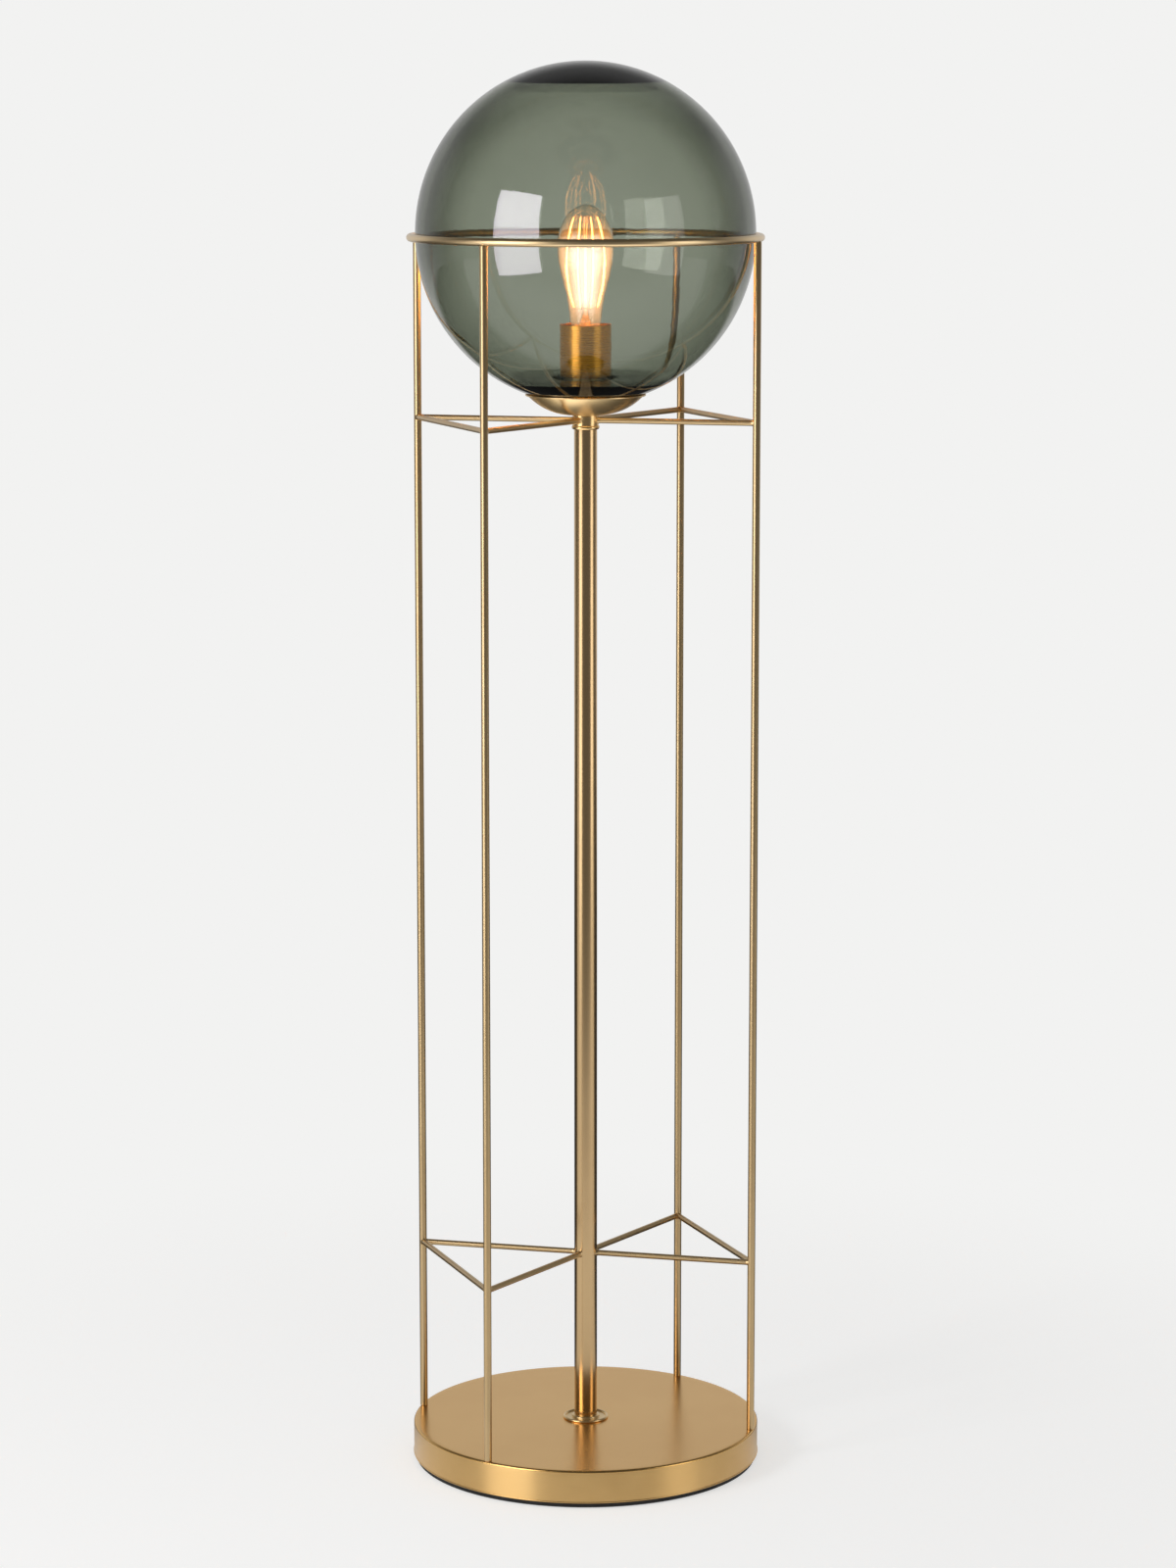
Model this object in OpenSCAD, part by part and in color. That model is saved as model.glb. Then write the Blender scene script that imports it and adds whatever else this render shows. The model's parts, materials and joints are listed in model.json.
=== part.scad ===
// Globe floor lamp: a thick smoked glass globe on a brass column, held in a cage of
// four upright rods. Millimetres, +Z up, origin on the floor at the column's axis.

/* [Base] */
// Thickness of the black pad under the base
pad_t = 5; // [3:0.5:8]
// How far the pad's edge stands in from the cover's outer face
pad_inset = 2.5; // [1:0.5:6]
// Height of the brass cover
cover_h = 34.5; // [30:0.5:60]
// Sheet thickness of the brass cover
cover_wall = 1; // [0.8:0.05:1.2]
// Rounding of the cover's top edge
cover_round = 2.4; // [1.5:0.1:4]
// Radius of the rolled hem round the cover's lower edge
hem_r = 0.7; // [0.6:0.05:0.9]
// How far the hem stands out from the cover
hem_stand = 0.6; // [0.3:0.05:0.8]
// Thickness of the iron ballast disc
ballast_t = 12; // [8:0.5:14]
// Thickness of the steel bottom plate
plate_t = 1.5; // [1:0.1:2.5]
// Radius of the circle of spacers that carry the bottom plate
spacer_circle_r = 110; // [70:1:150]
// Radius of a plate spacer
spacer_r = 6; // [5:0.5:10]
// Direction of the cord outlet, measured from +X
outlet_az = 111; // [105:1:117]
// Radius of the cord outlet's bore
outlet_r = 3.5; // [3:0.1:4]

/* [Cage] */
// Gap between the globe and the rods and ring round it
cage_gap = 1; // [0.5:0.5:25]
// Radius of a rod and of the top ring's tube
rod_r = 4; // [3.5:0.1:4.2]
// Radius of the level struts
strut_r = 3; // [2:0.1:3.4]
// Direction that one pair of rods is centred on, measured from +X
pair_az = 21; // [15:1:27]
// Angle between the two rods of a pair
pair_angle = 69.2; // [50:0.1:80]
// Height of the top ring's centre line over the floor
ring_z = 1296; // [1250:1:1330]
// Height of the lower struts' centre line over the floor
lower_strut_z = 222; // [120:1:500]
// Height of the upper struts' centre line under the top of the column
upper_strut_drop = 5.5; // [5:0.1:9]

/* [Column] */
// Length of the column tube
column_h = 1074.5; // [1040:0.5:1090]
// Outer radius of the column tube
column_r = 12; // [11.5:0.1:13]
// Wall of the column tube
column_wall = 2; // [1.5:0.1:2.5]
// Length of the bushes in the column's ends
bush_h = 15; // [10:0.5:30]
// Outer radius of the collar under the cup
collar_r = 13.5; // [13.4:0.1:15]
// Height of the collar under the cup
collar_h = 15; // [13:0.5:25]
// Radius that the collar's lower lip adds
collar_lip = 1; // [0.5:0.1:2]
// Height of the collar's lower lip
collar_lip_h = 4.5; // [3:0.5:5]
// Outer radius of the ring round the column's foot
foot_ring_r = 24; // [20:0.5:35]
// Radius of the bead round the foot ring
foot_bead_r = 1.4; // [1:0.1:2]
// Height of the foot ring's shoulder at the column
foot_shoulder_h = 3.4; // [2.5:0.1:6]

/* [Threads] */
// Radius of the hollow nipples
nipple_r = 5; // [4.5:0.1:5.5]
// Radius of the bore through the nipples
nipple_bore_r = 3.5; // [3.2:0.1:3.8]
// Width across the flats of the nipple nuts
nut_af = 14; // [13:0.5:15]
// Height of the nipple nuts
nut_h = 5; // [3:0.5:5.5]
// Thickness of the washers
washer_t = 1.5; // [1:0.1:2]
// Outer radius of the washers
washer_r = 14; // [13:0.5:14.4]
// Shank radius of the screws that hold the rods
cage_screw_r = 1.5; // [1.25:0.05:1.6]
// Head radius of the screws that hold the rods
cage_head_r = 2.75; // [2.4:0.05:2.8]
// Head height of the screws that hold the rods
cage_head_h = 2.5; // [1.5:0.1:3]
// Length of thread that a rod takes
cage_grip = 8; // [5:0.5:20]
// Shank radius of the screws that hold the bottom plate
plate_screw_r = 2; // [1.5:0.1:2.5]
// Head radius of the screws that hold the bottom plate
plate_head_r = 3.75; // [3:0.05:4.2]
// Head height of the screws that hold the bottom plate
plate_head_h = 2.4; // [1.5:0.1:2.6]

/* [Cup and lamp holder] */
// Radius of the flat under the cup
cup_flat_r = 14.5; // [14.4:0.1:18]
// Radius of the cup's curved side, seen from the side
cup_curve_r = 62; // [55:0.5:80]
// Radius of the cup's rim
cup_rim_r = 61.5; // [50:0.5:65]
// Sheet thickness of the cup
cup_wall = 1.5; // [1:0.1:2]
// Distance from the cup's rim to the black gasket
gasket_margin = 5; // [4.5:0.5:8]
// Width of the black gasket
gasket_w = 17.5; // [10:0.5:20]
// Outer radius of the spacer tube under the lamp holder
holder_spacer_r = 11; // [10.5:0.1:14]
// Wall of the spacer tube under the lamp holder
holder_spacer_wall = 1.5; // [1:0.1:2]
// Height of the spacer tube under the lamp holder
holder_spacer_h = 29.5; // [28:0.5:34]
// Radius of the stepped base of the lamp holder
holder_base_r = 22.7; // [20:0.1:24]
// Height of the stepped base of the lamp holder
holder_base_h = 6.5; // [4:0.5:9]
// Outer radius of the brass sleeve
sleeve_r = 26.5; // [25:0.1:27]
// Sheet thickness of the brass sleeve
sleeve_wall = 1.2; // [0.8:0.1:1.5]
// Height of the brass sleeve
sleeve_h = 54; // [50:0.5:60]
// Outer radius of the insulating body in the sleeve
body_r = 21.5; // [20:0.1:22]
// Wall of the insulating body
body_wall = 3; // [2.5:0.1:4]
// How far the insulating body stops under the sleeve's top edge
body_recess = 4; // [2:0.1:4]
// Inner radius of the screw shell
shell_inner_r = 13.6; // [13.5:0.05:14]
// Wall of the screw shell
shell_wall = 0.5; // [0.4:0.05:0.8]

/* [Globe] */
// Outer radius of the glass globe
globe_r = 175; // [170:0.5:175]
// Thickness of the glass at the globe's side
glass_t = 9; // [4:0.5:12]
// Radius of the level patches inside the globe's top and bottom, where the glass is thickest
pole_flat_r = 76; // [60:0.5:90]
// Radius of the hole in the globe's bottom
globe_hole_r = 34; // [33.6:0.1:36]

/* [Bulb] */
// Greatest radius of the bulb's glass
bulb_r = 29; // [25:0.5:29]
// Radius of the bulb's neck
neck_r = 16.5; // [15.5:0.1:17.5]
// Height of the bulb's glass over its cap
bulb_h = 125; // [115:1:135]
// Wall of the bulb's glass
bulb_wall = 0.8; // [0.6:0.1:1.2]
// Radius of the bulb's cap
cap_r = 13; // [12.5:0.1:13.1]
// How far the bulb's cap stands out of the lamp holder
cap_show = 1.5; // [1:0.5:3]
// Number of filaments
filament_count = 8; // [4:1:10]
// Radius of a filament
filament_r = 0.5; // [0.3:0.05:0.7]
// Distance of a filament's middle from the bulb's axis
filament_bow_r = 21; // [18:0.5:22]
// Distance of a filament's ends from the bulb's axis
filament_end_r = 13; // [10:0.5:14]
// Height from a filament's lower end to its upper end
filament_h = 92; // [80:1:95]

/* [Wiring] */
// Radius of a lead
lead_r = 1.1; // [0.9:0.05:1.15]
// Distance of each lead from the column's axis
lead_offset = 1.8; // [1.7:0.05:1.9]
// Radius of the bend where a lead leaves the nipple
lead_bend_r = 5; // [4:0.5:6]
// Distance from the axis to the near face of the terminal block
block_reach = 42; // [35:1:80]
// Length, width and height of the terminal block
block_size = [18, 30, 17]; // [8:0.5:60]

/* [Fits] */
// Gap between pieces that are pushed or pressed together
push_gap = 0.05; // [0.02:0.01:0.1]
// Gap that the braze fills where bars meet
braze_gap = 0.1; // [0.05:0.05:0.2]
// Gap between pieces that move apart
slip_gap = 0.3; // [0.25:0.05:0.4]
// Clearance of a hole round a screw
screw_gap = 0.2; // [0.1:0.05:0.3]
// Gap round the ballast and the plate inside the cover
cover_gap = 0.4; // [0.3:0.05:0.6]

/* [Hidden] */
$fn = 96;

brass = "#c8a86e";
steel = "#9a9a98";
iron = "#3c3c3e";
black = "#1c1c1c";

// The cage stands just clear of the globe, and the base is flush with its rods
cage_r = globe_r + cage_gap + rod_r;
base_r = cage_r + rod_r;

// Heights in the base
base_top = pad_t + cover_h;
cover_inner_r = base_r - cover_wall;
inner_disc_r = cover_inner_r - cover_gap;
plate_top = pad_t + plate_t;
ballast_top = base_top - cover_wall;
ballast_z = ballast_top - ballast_t;
screw_hole_r = cage_screw_r + screw_gap;
spigot_h = ballast_t / 2;
spigot_r = plate_screw_r + 0.5;

// Cord outlet
outlet_z = (plate_top + ballast_z) / 2;
grommet_neck_r = outlet_r + 0.9;
grommet_flange_r = grommet_neck_r + 2.1;
grommet_lip = 2;
grommet_inner_face = sqrt(cover_inner_r ^ 2 - grommet_flange_r ^ 2) - 0.1;
grommet_outer_face = base_r + 0.1;

// Rods stand in two pairs that face each other across the column
rod_right_az = pair_az - pair_angle / 2;
rod_back_right_az = pair_az + pair_angle / 2;
rod_left_az = rod_right_az + 180;
rod_front_left_az = rod_back_right_az + 180;
rod_azimuths = [rod_right_az, rod_back_right_az, rod_left_az, rod_front_left_az];
rod_top_z = ring_z - rod_r / 2;
tie_reach = cage_r * cos(pair_angle / 2);
tie_length = 2 * cage_r * sin(pair_angle / 2);

// Column
column_top = base_top + column_h;
column_inner_r = column_r - column_wall;
upper_strut_z = column_top - upper_strut_drop;
lower_nipple_z = ballast_z - washer_t - nut_h - 0.5;
lower_nipple_top = base_top + bush_h - 1;

// Cup: its outer face is level to cup_flat_r and then an arc that starts level
cup_curve_z = column_top + cup_curve_r;
cup_rim_z = cup_curve_z - sqrt(cup_curve_r ^ 2 - (cup_rim_r - cup_flat_r) ^ 2);
globe_z = cup_rim_z + sqrt((globe_r + slip_gap) ^ 2 - cup_rim_r ^ 2);
cup_floor_z = column_top + cup_wall;
gasket_outer_r = cup_rim_r - gasket_margin;
gasket_inner_r = gasket_outer_r - gasket_w;
washer_top = cup_floor_z + washer_t;

// Lamp holder
holder_base_z = washer_top + holder_spacer_h;
sleeve_z = holder_base_z + holder_base_h;
sleeve_top = sleeve_z + sleeve_h;
sleeve_floor_z = sleeve_z + sleeve_wall;
body_z = sleeve_floor_z + nut_h;
body_top = sleeve_top - body_recess;
body_floor_t = 3;
pocket_h = 8;
insert_z = body_z + body_floor_t + pocket_h;
insert_t = 3;
upper_nipple_z = column_top - bush_h + 1;
upper_nipple_top = body_z + body_floor_t;
shell_outer_r = shell_inner_r + shell_wall;
centre_contact_r = 4;
centre_contact_t = 1.5;
contact_top = insert_z + insert_t + centre_contact_t;

// Bulb, built up from the tip of its centre contact
tip_z = contact_top + slip_gap;
tip_h = 1.5;
tip_r = 4.5;
insulator_h = 4;
cap_z = tip_z + tip_h + insulator_h;
cap_top = body_top + cap_show;
cap_wall = 0.4;
bulb_seat_r = cap_r - cap_wall - push_gap;
bulb_seat_h = 6;
glass_low_z = cap_top - bulb_seat_h;
bulb_shoulder_h = 5;
bulb_top = cap_top + bulb_h;
bulb_belly_z = bulb_top - 1.5 * bulb_r;
filament_low = cap_top + 20;
filament_mid = filament_low + filament_h / 2;
filament_top = filament_low + filament_h;
stem_top = filament_top - 6;
stem_r = 2;

// A filament is an arc that ends at filament_end_r and bows out to filament_bow_r
bow = filament_bow_r - filament_end_r;
arc_r = ((filament_h / 2) ^ 2 + bow ^ 2) / (2 * bow);
arc_half = asin(filament_h / 2 / arc_r);

// Leads: the live one turns level just under the other two
high_lead_z = lower_nipple_z - lead_bend_r - 0.5;
low_lead_z = high_lead_z - 2 * lead_r - 0.8;
lead_top = insert_z - push_gap;
lead_fan = 11;

// A value that runs smoothly from a to b as t runs from 0 to 1
function ease(a, b, t) = a + (b - a) * (1 - cos(180 * t)) / 2;

// A tube, or a ring, between two heights
module tube(outer, inner, z0, z1) {
    translate([0, 0, z0]) difference() {
        cylinder(r = outer, h = z1 - z0);
        translate([0, 0, -1]) cylinder(r = inner, h = z1 - z0 + 2);
    }
}

module rod_cutter(az, r = rod_r + braze_gap) {
    rotate([0, 0, az]) translate([cage_r, 0, 0]) cylinder(r = r, h = ring_z);
}

module foot_pad() color(black) {
    difference() {
        cylinder(r = base_r - pad_inset, h = pad_t);
        for (i = [0:2]) spacer_place(i) translate([0, 0, -1])
            cylinder(r = plate_head_r + 1.25, h = pad_t + 2);
    }
}

module spacer_place(i) {
    rotate([0, 0, outlet_az + 60 + 120 * i]) translate([spacer_circle_r, 0, 0]) children();
}

module bottom_plate() color(steel) {
    difference() {
        translate([0, 0, pad_t]) cylinder(r = inner_disc_r, h = plate_t);
        for (i = [0:2]) spacer_place(i) cylinder(r = plate_screw_r + screw_gap, h = plate_top + 1);
    }
}

module plate_screws() color(steel) {
    grip = (ballast_z - plate_top) / 2;
    for (i = [0:2]) spacer_place(i) {
        translate([0, 0, pad_t - plate_head_h]) cylinder(r = plate_head_r, h = plate_head_h);
        translate([0, 0, pad_t]) cylinder(r = plate_screw_r, h = plate_t + grip);
    }
}

module plate_spacers() color(steel) {
    depth = (ballast_z - plate_top) / 2 + 2;
    for (i = [0:2]) spacer_place(i) difference() {
        union() {
            translate([0, 0, plate_top]) cylinder(r = spacer_r, h = ballast_z - plate_top);
            translate([0, 0, ballast_z]) cylinder(r = spigot_r, h = spigot_h);
        }
        translate([0, 0, plate_top - 1]) cylinder(r = plate_screw_r + push_gap, h = depth + 1);
    }
}

// Half section of a disc of radius r and height h with its top edge rounded
module rounded_half(r, h, round_r) {
    square([r - round_r, h]);
    square([r, h - round_r]);
    translate([r - round_r, h - round_r]) circle(r = round_r);
}

module base_cover() color(brass) {
    difference() {
        translate([0, 0, pad_t]) rotate_extrude($fn = 180) difference() {
            union() {
                rounded_half(base_r, cover_h, cover_round);
                translate([base_r + hem_stand - hem_r, hem_r + push_gap]) circle(r = hem_r, $fn = 32);
            }
            translate([0, -1])
                rounded_half(cover_inner_r, cover_h - cover_wall + 1, cover_round - cover_wall);
            translate([-1, cover_h - cover_wall - 1]) square([nipple_r + screw_gap + 1, cover_wall + 2]);
        }
        for (az = rod_azimuths) rod_cutter(az, screw_hole_r);
        grommet_place() cylinder(r = grommet_neck_r + 0.1, h = base_r + 10);
    }
}

// Local Z runs outwards along the cord outlet's axis, from the column's axis
module grommet_place() {
    rotate([0, 0, outlet_az]) translate([0, 0, outlet_z]) rotate([0, 90, 0]) children();
}

module cord_grommet() color(black) {
    half = grommet_lip / 2;
    grommet_place() rotate_extrude() difference() {
        union() {
            translate([0, grommet_inner_face - grommet_lip])
                square([grommet_neck_r, grommet_outer_face - grommet_inner_face + 2 * grommet_lip]);
            for (face = [grommet_inner_face - grommet_lip, grommet_outer_face]) {
                translate([0, face]) square([grommet_flange_r - half, grommet_lip]);
                translate([grommet_flange_r - half, face + half]) circle(r = half, $fn = 32);
            }
        }
        translate([-1, 0]) square([outlet_r + 1, 2 * base_r]);
    }
}

module ballast() color(iron) {
    difference() {
        translate([0, 0, ballast_z])
            rotate_extrude($fn = 180) rounded_half(inner_disc_r, ballast_t, cover_round);
        cylinder(r = nipple_r + screw_gap, h = base_top);
        for (az = rod_azimuths) rotate([0, 0, az]) {
            translate([cage_r, 0, 0]) cylinder(r = screw_hole_r, h = base_top);
            translate([cage_r, -screw_hole_r, 0]) cube([2 * rod_r, 2 * screw_hole_r, base_top]);
        }
        for (i = [0:2]) spacer_place(i) cylinder(r = spigot_r + push_gap, h = ballast_z + spigot_h + 1);
        block_place() cylinder(r = cage_screw_r + push_gap, h = ballast_t / 2 + block_size[2]);
    }
}

// Local origin on the underside of the terminal block, at its middle
module block_place() {
    rotate([0, 0, outlet_az])
        translate([block_reach + block_size[0] / 2, 0, ballast_z - block_size[2]]) children();
}

module block_body() {
    block_place() translate([-block_size[0] / 2, -block_size[1] / 2, 0]) cube(block_size);
}

module terminal_block() color("#e8e4d8") {
    difference() {
        block_body();
        block_place() {
            translate([0, 0, -1]) cylinder(r = screw_hole_r, h = block_size[2] + 2);
            for (side = [-1, 0, 1]) translate([block_size[0] / 4, side * block_size[1] / 3, -1])
                cylinder(r = screw_hole_r, h = block_size[2] / 2);
        }
    }
}

module terminal_screw() color(steel) {
    head_h = 1.8;
    block_place() {
        translate([0, 0, -head_h]) cylinder(r = cage_head_r, h = head_h);
        cylinder(r = cage_screw_r, h = block_size[2] + ballast_t / 3);
    }
}

module foot_ring() color(brass) {
    shoulder_r = 1.25;
    inner = column_r + push_gap;
    bead_x = foot_ring_r - foot_bead_r;
    bead_sink = 0.2;
    translate([0, 0, base_top]) rotate_extrude() {
        translate([inner, 0]) square([bead_x - inner, 1]);
        intersection() {
            translate([bead_x, foot_bead_r - bead_sink]) circle(r = foot_bead_r, $fn = 48);
            square([foot_ring_r + 1, 2 * foot_bead_r]);
        }
        translate([inner, 0]) square([2 * shoulder_r, foot_shoulder_h - shoulder_r]);
        translate([inner + shoulder_r, foot_shoulder_h - shoulder_r]) circle(r = shoulder_r, $fn = 48);
    }
}

module lower_nipple() color(steel) {
    tube(nipple_r, nipple_bore_r, lower_nipple_z, lower_nipple_top);
}

module lower_washer() color(steel) {
    tube(washer_r, nipple_r + push_gap, ballast_z - washer_t, ballast_z);
}

// Hexagon nut on a nipple, standing on height z
module nipple_nut(z) {
    translate([0, 0, z]) difference() {
        cylinder(r = nut_af / 2 / cos(30), h = nut_h, $fn = 6);
        translate([0, 0, -1]) cylinder(r = nipple_r + push_gap, h = nut_h + 2, $fn = 96);
    }
}

module lower_nut() color(steel) nipple_nut(ballast_z - washer_t - nut_h);

module cage_screws() color(steel) {
    for (az = rod_azimuths) rotate([0, 0, az]) translate([cage_r, 0, 0]) {
        translate([0, 0, ballast_z - cage_head_h]) cylinder(r = cage_head_r, h = cage_head_h);
        translate([0, 0, ballast_z])
            cylinder(r = cage_screw_r, h = base_top - ballast_z + cage_grip);
    }
}

module rod(az) color(brass) {
    hole_h = cage_grip + 2;
    difference() {
        rotate([0, 0, az]) translate([cage_r, 0, base_top]) difference() {
            cylinder(r = rod_r, h = rod_top_z - base_top);
            translate([0, 0, -1]) cylinder(r = cage_screw_r + push_gap, h = hole_h + 1);
        }
        ring_body(rod_r + braze_gap);
    }
}

module ring_body(tube_r) {
    translate([0, 0, ring_z]) rotate_extrude($fn = 180)
        translate([cage_r, 0]) circle(r = tube_r, $fn = 48);
}

module rod_right() rod(rod_right_az);
module rod_back_right() rod(rod_back_right_az);
module rod_left() rod(rod_left_az);
module rod_front_left() rod(rod_front_left_az);

module top_ring() color(brass) ring_body(rod_r);

// A level bar from the hub to a rod, its ends shaped to fit both
module strut(az, z, hub_r) color(brass) {
    difference() {
        bar(az, z, hub_r);
        translate([0, 0, z - 2 * strut_r]) cylinder(r = hub_r + braze_gap, h = 4 * strut_r);
        rod_cutter(az);
    }
}

module bar(az, z, hub_r, r = strut_r) {
    rotate([0, 0, az]) translate([hub_r / 2, 0, z]) rotate([0, 90, 0])
        cylinder(r = r, h = cage_r - hub_r / 2);
}

// A level bar between the two rods of a pair, its ends shaped to fit rods and struts
module tie(side_az, z, hub_r) color(brass) {
    difference() {
        rotate([0, 0, side_az]) translate([tie_reach, tie_length / 2, z]) rotate([90, 0, 0])
            cylinder(r = strut_r, h = tie_length);
        for (az = [side_az - pair_angle / 2, side_az + pair_angle / 2]) {
            rod_cutter(az);
            bar(az, z, hub_r, strut_r + braze_gap);
        }
    }
}

module lower_strut_right() strut(rod_right_az, lower_strut_z, column_r);
module lower_strut_back_right() strut(rod_back_right_az, lower_strut_z, column_r);
module lower_strut_left() strut(rod_left_az, lower_strut_z, column_r);
module lower_strut_front_left() strut(rod_front_left_az, lower_strut_z, column_r);
module lower_tie_right() tie(pair_az, lower_strut_z, column_r);
module lower_tie_left() tie(pair_az + 180, lower_strut_z, column_r);
module upper_strut_right() strut(rod_right_az, upper_strut_z, collar_r);
module upper_strut_back_right() strut(rod_back_right_az, upper_strut_z, collar_r);
module upper_strut_left() strut(rod_left_az, upper_strut_z, collar_r);
module upper_strut_front_left() strut(rod_front_left_az, upper_strut_z, collar_r);
module upper_tie_right() tie(pair_az, upper_strut_z, collar_r);
module upper_tie_left() tie(pair_az + 180, upper_strut_z, collar_r);

module column() color(brass) tube(column_r, column_inner_r, base_top, column_top);

// A bush that takes a nipple, pressed into an end of the column
module bush(z) tube(column_inner_r - push_gap, nipple_r + push_gap, z, z + bush_h);

module bottom_bush() color(steel) bush(base_top);
module top_bush() color(steel) bush(column_top - bush_h);

module upper_collar() color(brass) {
    inner = column_r + push_gap;
    lip = collar_r + collar_lip - collar_lip_h / 2;
    translate([0, 0, column_top - collar_h]) rotate_extrude() {
        translate([inner, 0]) square([collar_r - inner, collar_h]);
        intersection() {
            translate([lip, collar_lip_h / 2]) circle(r = collar_lip_h / 2, $fn = 48);
            translate([inner, 0]) square([collar_lip_h, collar_lip_h]);
        }
    }
}

// Half section of the space inside a curved cup side of radius curve_r, over height z
module cup_half(curve_r, z) {
    intersection() {
        union() {
            translate([cup_flat_r, cup_curve_z]) circle(r = curve_r, $fn = 180);
            translate([0, z]) square([cup_flat_r, curve_r]);
        }
        translate([0, z]) square([2 * cup_rim_r, curve_r]);
    }
}

// Half section of the globe's outer face, stood off by a gap
module globe_half(gap) {
    translate([0, globe_z]) circle(r = globe_r + gap, $fn = 360);
}

module cup() color(brass) {
    rotate_extrude($fn = 180) difference() {
        intersection() {
            cup_half(cup_curve_r, column_top);
            translate([0, column_top]) square([cup_rim_r, 2 * cup_curve_r]);
        }
        cup_half(cup_curve_r - cup_wall, cup_floor_z);
        globe_half(slip_gap);
        translate([-1, column_top - 1]) square([nipple_r + screw_gap + 1, cup_wall + 2]);
    }
}

module cup_gasket() color(black) {
    rotate_extrude($fn = 180) difference() {
        intersection() {
            cup_half(cup_curve_r - cup_wall - push_gap, cup_floor_z);
            translate([gasket_inner_r, column_top])
                square([gasket_outer_r - gasket_inner_r, cup_rim_z - column_top]);
        }
        globe_half(slip_gap);
    }
}

module upper_nipple() color(steel) {
    tube(nipple_r, nipple_bore_r, upper_nipple_z, upper_nipple_top);
}

module cup_washer() color(steel) tube(washer_r, nipple_r + push_gap, cup_floor_z, washer_top);

module cup_nut() color(steel) nipple_nut(washer_top);

module holder_spacer() color(brass) {
    tube(holder_spacer_r, holder_spacer_r - holder_spacer_wall, washer_top, holder_base_z);
}

module holder_base() color(brass) {
    tube(holder_base_r, nipple_r + push_gap, holder_base_z, sleeve_z);
}

module holder_sleeve() color(brass) {
    edge_r = sleeve_wall / 2;
    translate([0, 0, sleeve_z]) rotate_extrude() {
        translate([nipple_r + push_gap, 0]) square([sleeve_r - nipple_r - push_gap, sleeve_wall]);
        translate([sleeve_r - sleeve_wall, 0]) square([sleeve_wall, sleeve_h - edge_r]);
        translate([sleeve_r - edge_r, sleeve_h - edge_r]) circle(r = edge_r, $fn = 48);
    }
}

module holder_nut() color(steel) nipple_nut(sleeve_floor_z);

module holder_body() color("#2a2420") {
    difference() {
        tube(body_r, nipple_r + push_gap, body_z, body_top);
        translate([0, 0, body_z + body_floor_t]) cylinder(r = body_r - body_wall, h = sleeve_h);
    }
}

module contact_insert() color("#ece8de") {
    hole_r = lead_r + screw_gap;
    difference() {
        union() {
            translate([0, 0, insert_z]) cylinder(r = body_r - body_wall - push_gap, h = insert_t);
            tube(body_r - body_wall - push_gap, shell_outer_r + push_gap, insert_z, body_top);
        }
        for (side = [-1, 1]) translate([side * 2.5 * centre_contact_r, 0, insert_z - 1])
            cylinder(r = hole_r, h = insert_t + 2);
    }
}

module screw_shell() color(brass) {
    tube(shell_outer_r, shell_inner_r, insert_z + insert_t, body_top - 1);
}

module centre_contact() color(brass) {
    translate([0, 0, insert_z + insert_t]) cylinder(r = centre_contact_r, h = centre_contact_t);
}

// A lead that comes up the column beside its axis and turns level at its lower end
module lead(place_az, z, out_az) {
    difference() {
        rotate([0, 0, place_az]) translate([lead_offset, 0, 0]) rotate([0, 0, out_az - place_az]) {
            translate([0, 0, z + lead_bend_r]) cylinder(r = lead_r, h = lead_top - z - lead_bend_r);
            translate([lead_bend_r, 0, z + lead_bend_r]) rotate([90, 0, 0])
                rotate_extrude(angle = 90, start = 180) translate([lead_bend_r, 0])
                    circle(r = lead_r, $fn = 24);
            translate([lead_bend_r, 0, z]) rotate([0, 90, 0]) cylinder(r = lead_r, h = block_reach);
        }
        block_body();
    }
}

module lead_live() color("#7a4a2a") lead(outlet_az + 180, low_lead_z, outlet_az);
module lead_neutral() color("#3a5a9a") lead(outlet_az + 60, high_lead_z, outlet_az + lead_fan);
module lead_earth() color("#6a9a3a") lead(outlet_az - 60, high_lead_z, outlet_az - lead_fan);

module globe() color("#5f6b5a", 0.6) {
    inner_r = globe_r - glass_t;
    flat_z = sqrt(inner_r ^ 2 - pole_flat_r ^ 2);
    translate([0, 0, globe_z]) rotate_extrude($fn = 360) difference() {
        intersection() {
            circle(r = globe_r);
            translate([0, -globe_r]) square([globe_r, 2 * globe_r]);
        }
        intersection() {
            circle(r = inner_r);
            translate([-1, -flat_z]) square([globe_r, 2 * flat_z]);
        }
        translate([-1, -globe_r - 1]) square([globe_hole_r + 1, globe_r]);
    }
}

// Half section of the bulb's outer face, drawn in by gap
module bulb_half(gap) {
    steps = 16;
    side_z = cap_top + bulb_shoulder_h;
    polygon(concat(
        [[0, glass_low_z], [bulb_seat_r - gap, glass_low_z]],
        [for (i = [0:steps / 4]) let (t = 4 * i / steps)
            [ease(bulb_seat_r, neck_r, t) - gap, cap_top + bulb_shoulder_h * t]],
        [for (i = [1:steps]) let (t = i / steps)
            [ease(neck_r, bulb_r, t) - gap, side_z + (bulb_belly_z - side_z) * t]],
        [for (i = [1:steps]) let (a = 90 * i / steps)
            [(bulb_r - gap) * cos(a), bulb_belly_z + (bulb_top - bulb_belly_z - gap) * sin(a)]]
    ));
}

module bulb_glass() color("#f0e0b8", 0.5) {
    rotate_extrude() difference() {
        bulb_half(0);
        bulb_half(bulb_wall);
    }
}

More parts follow.
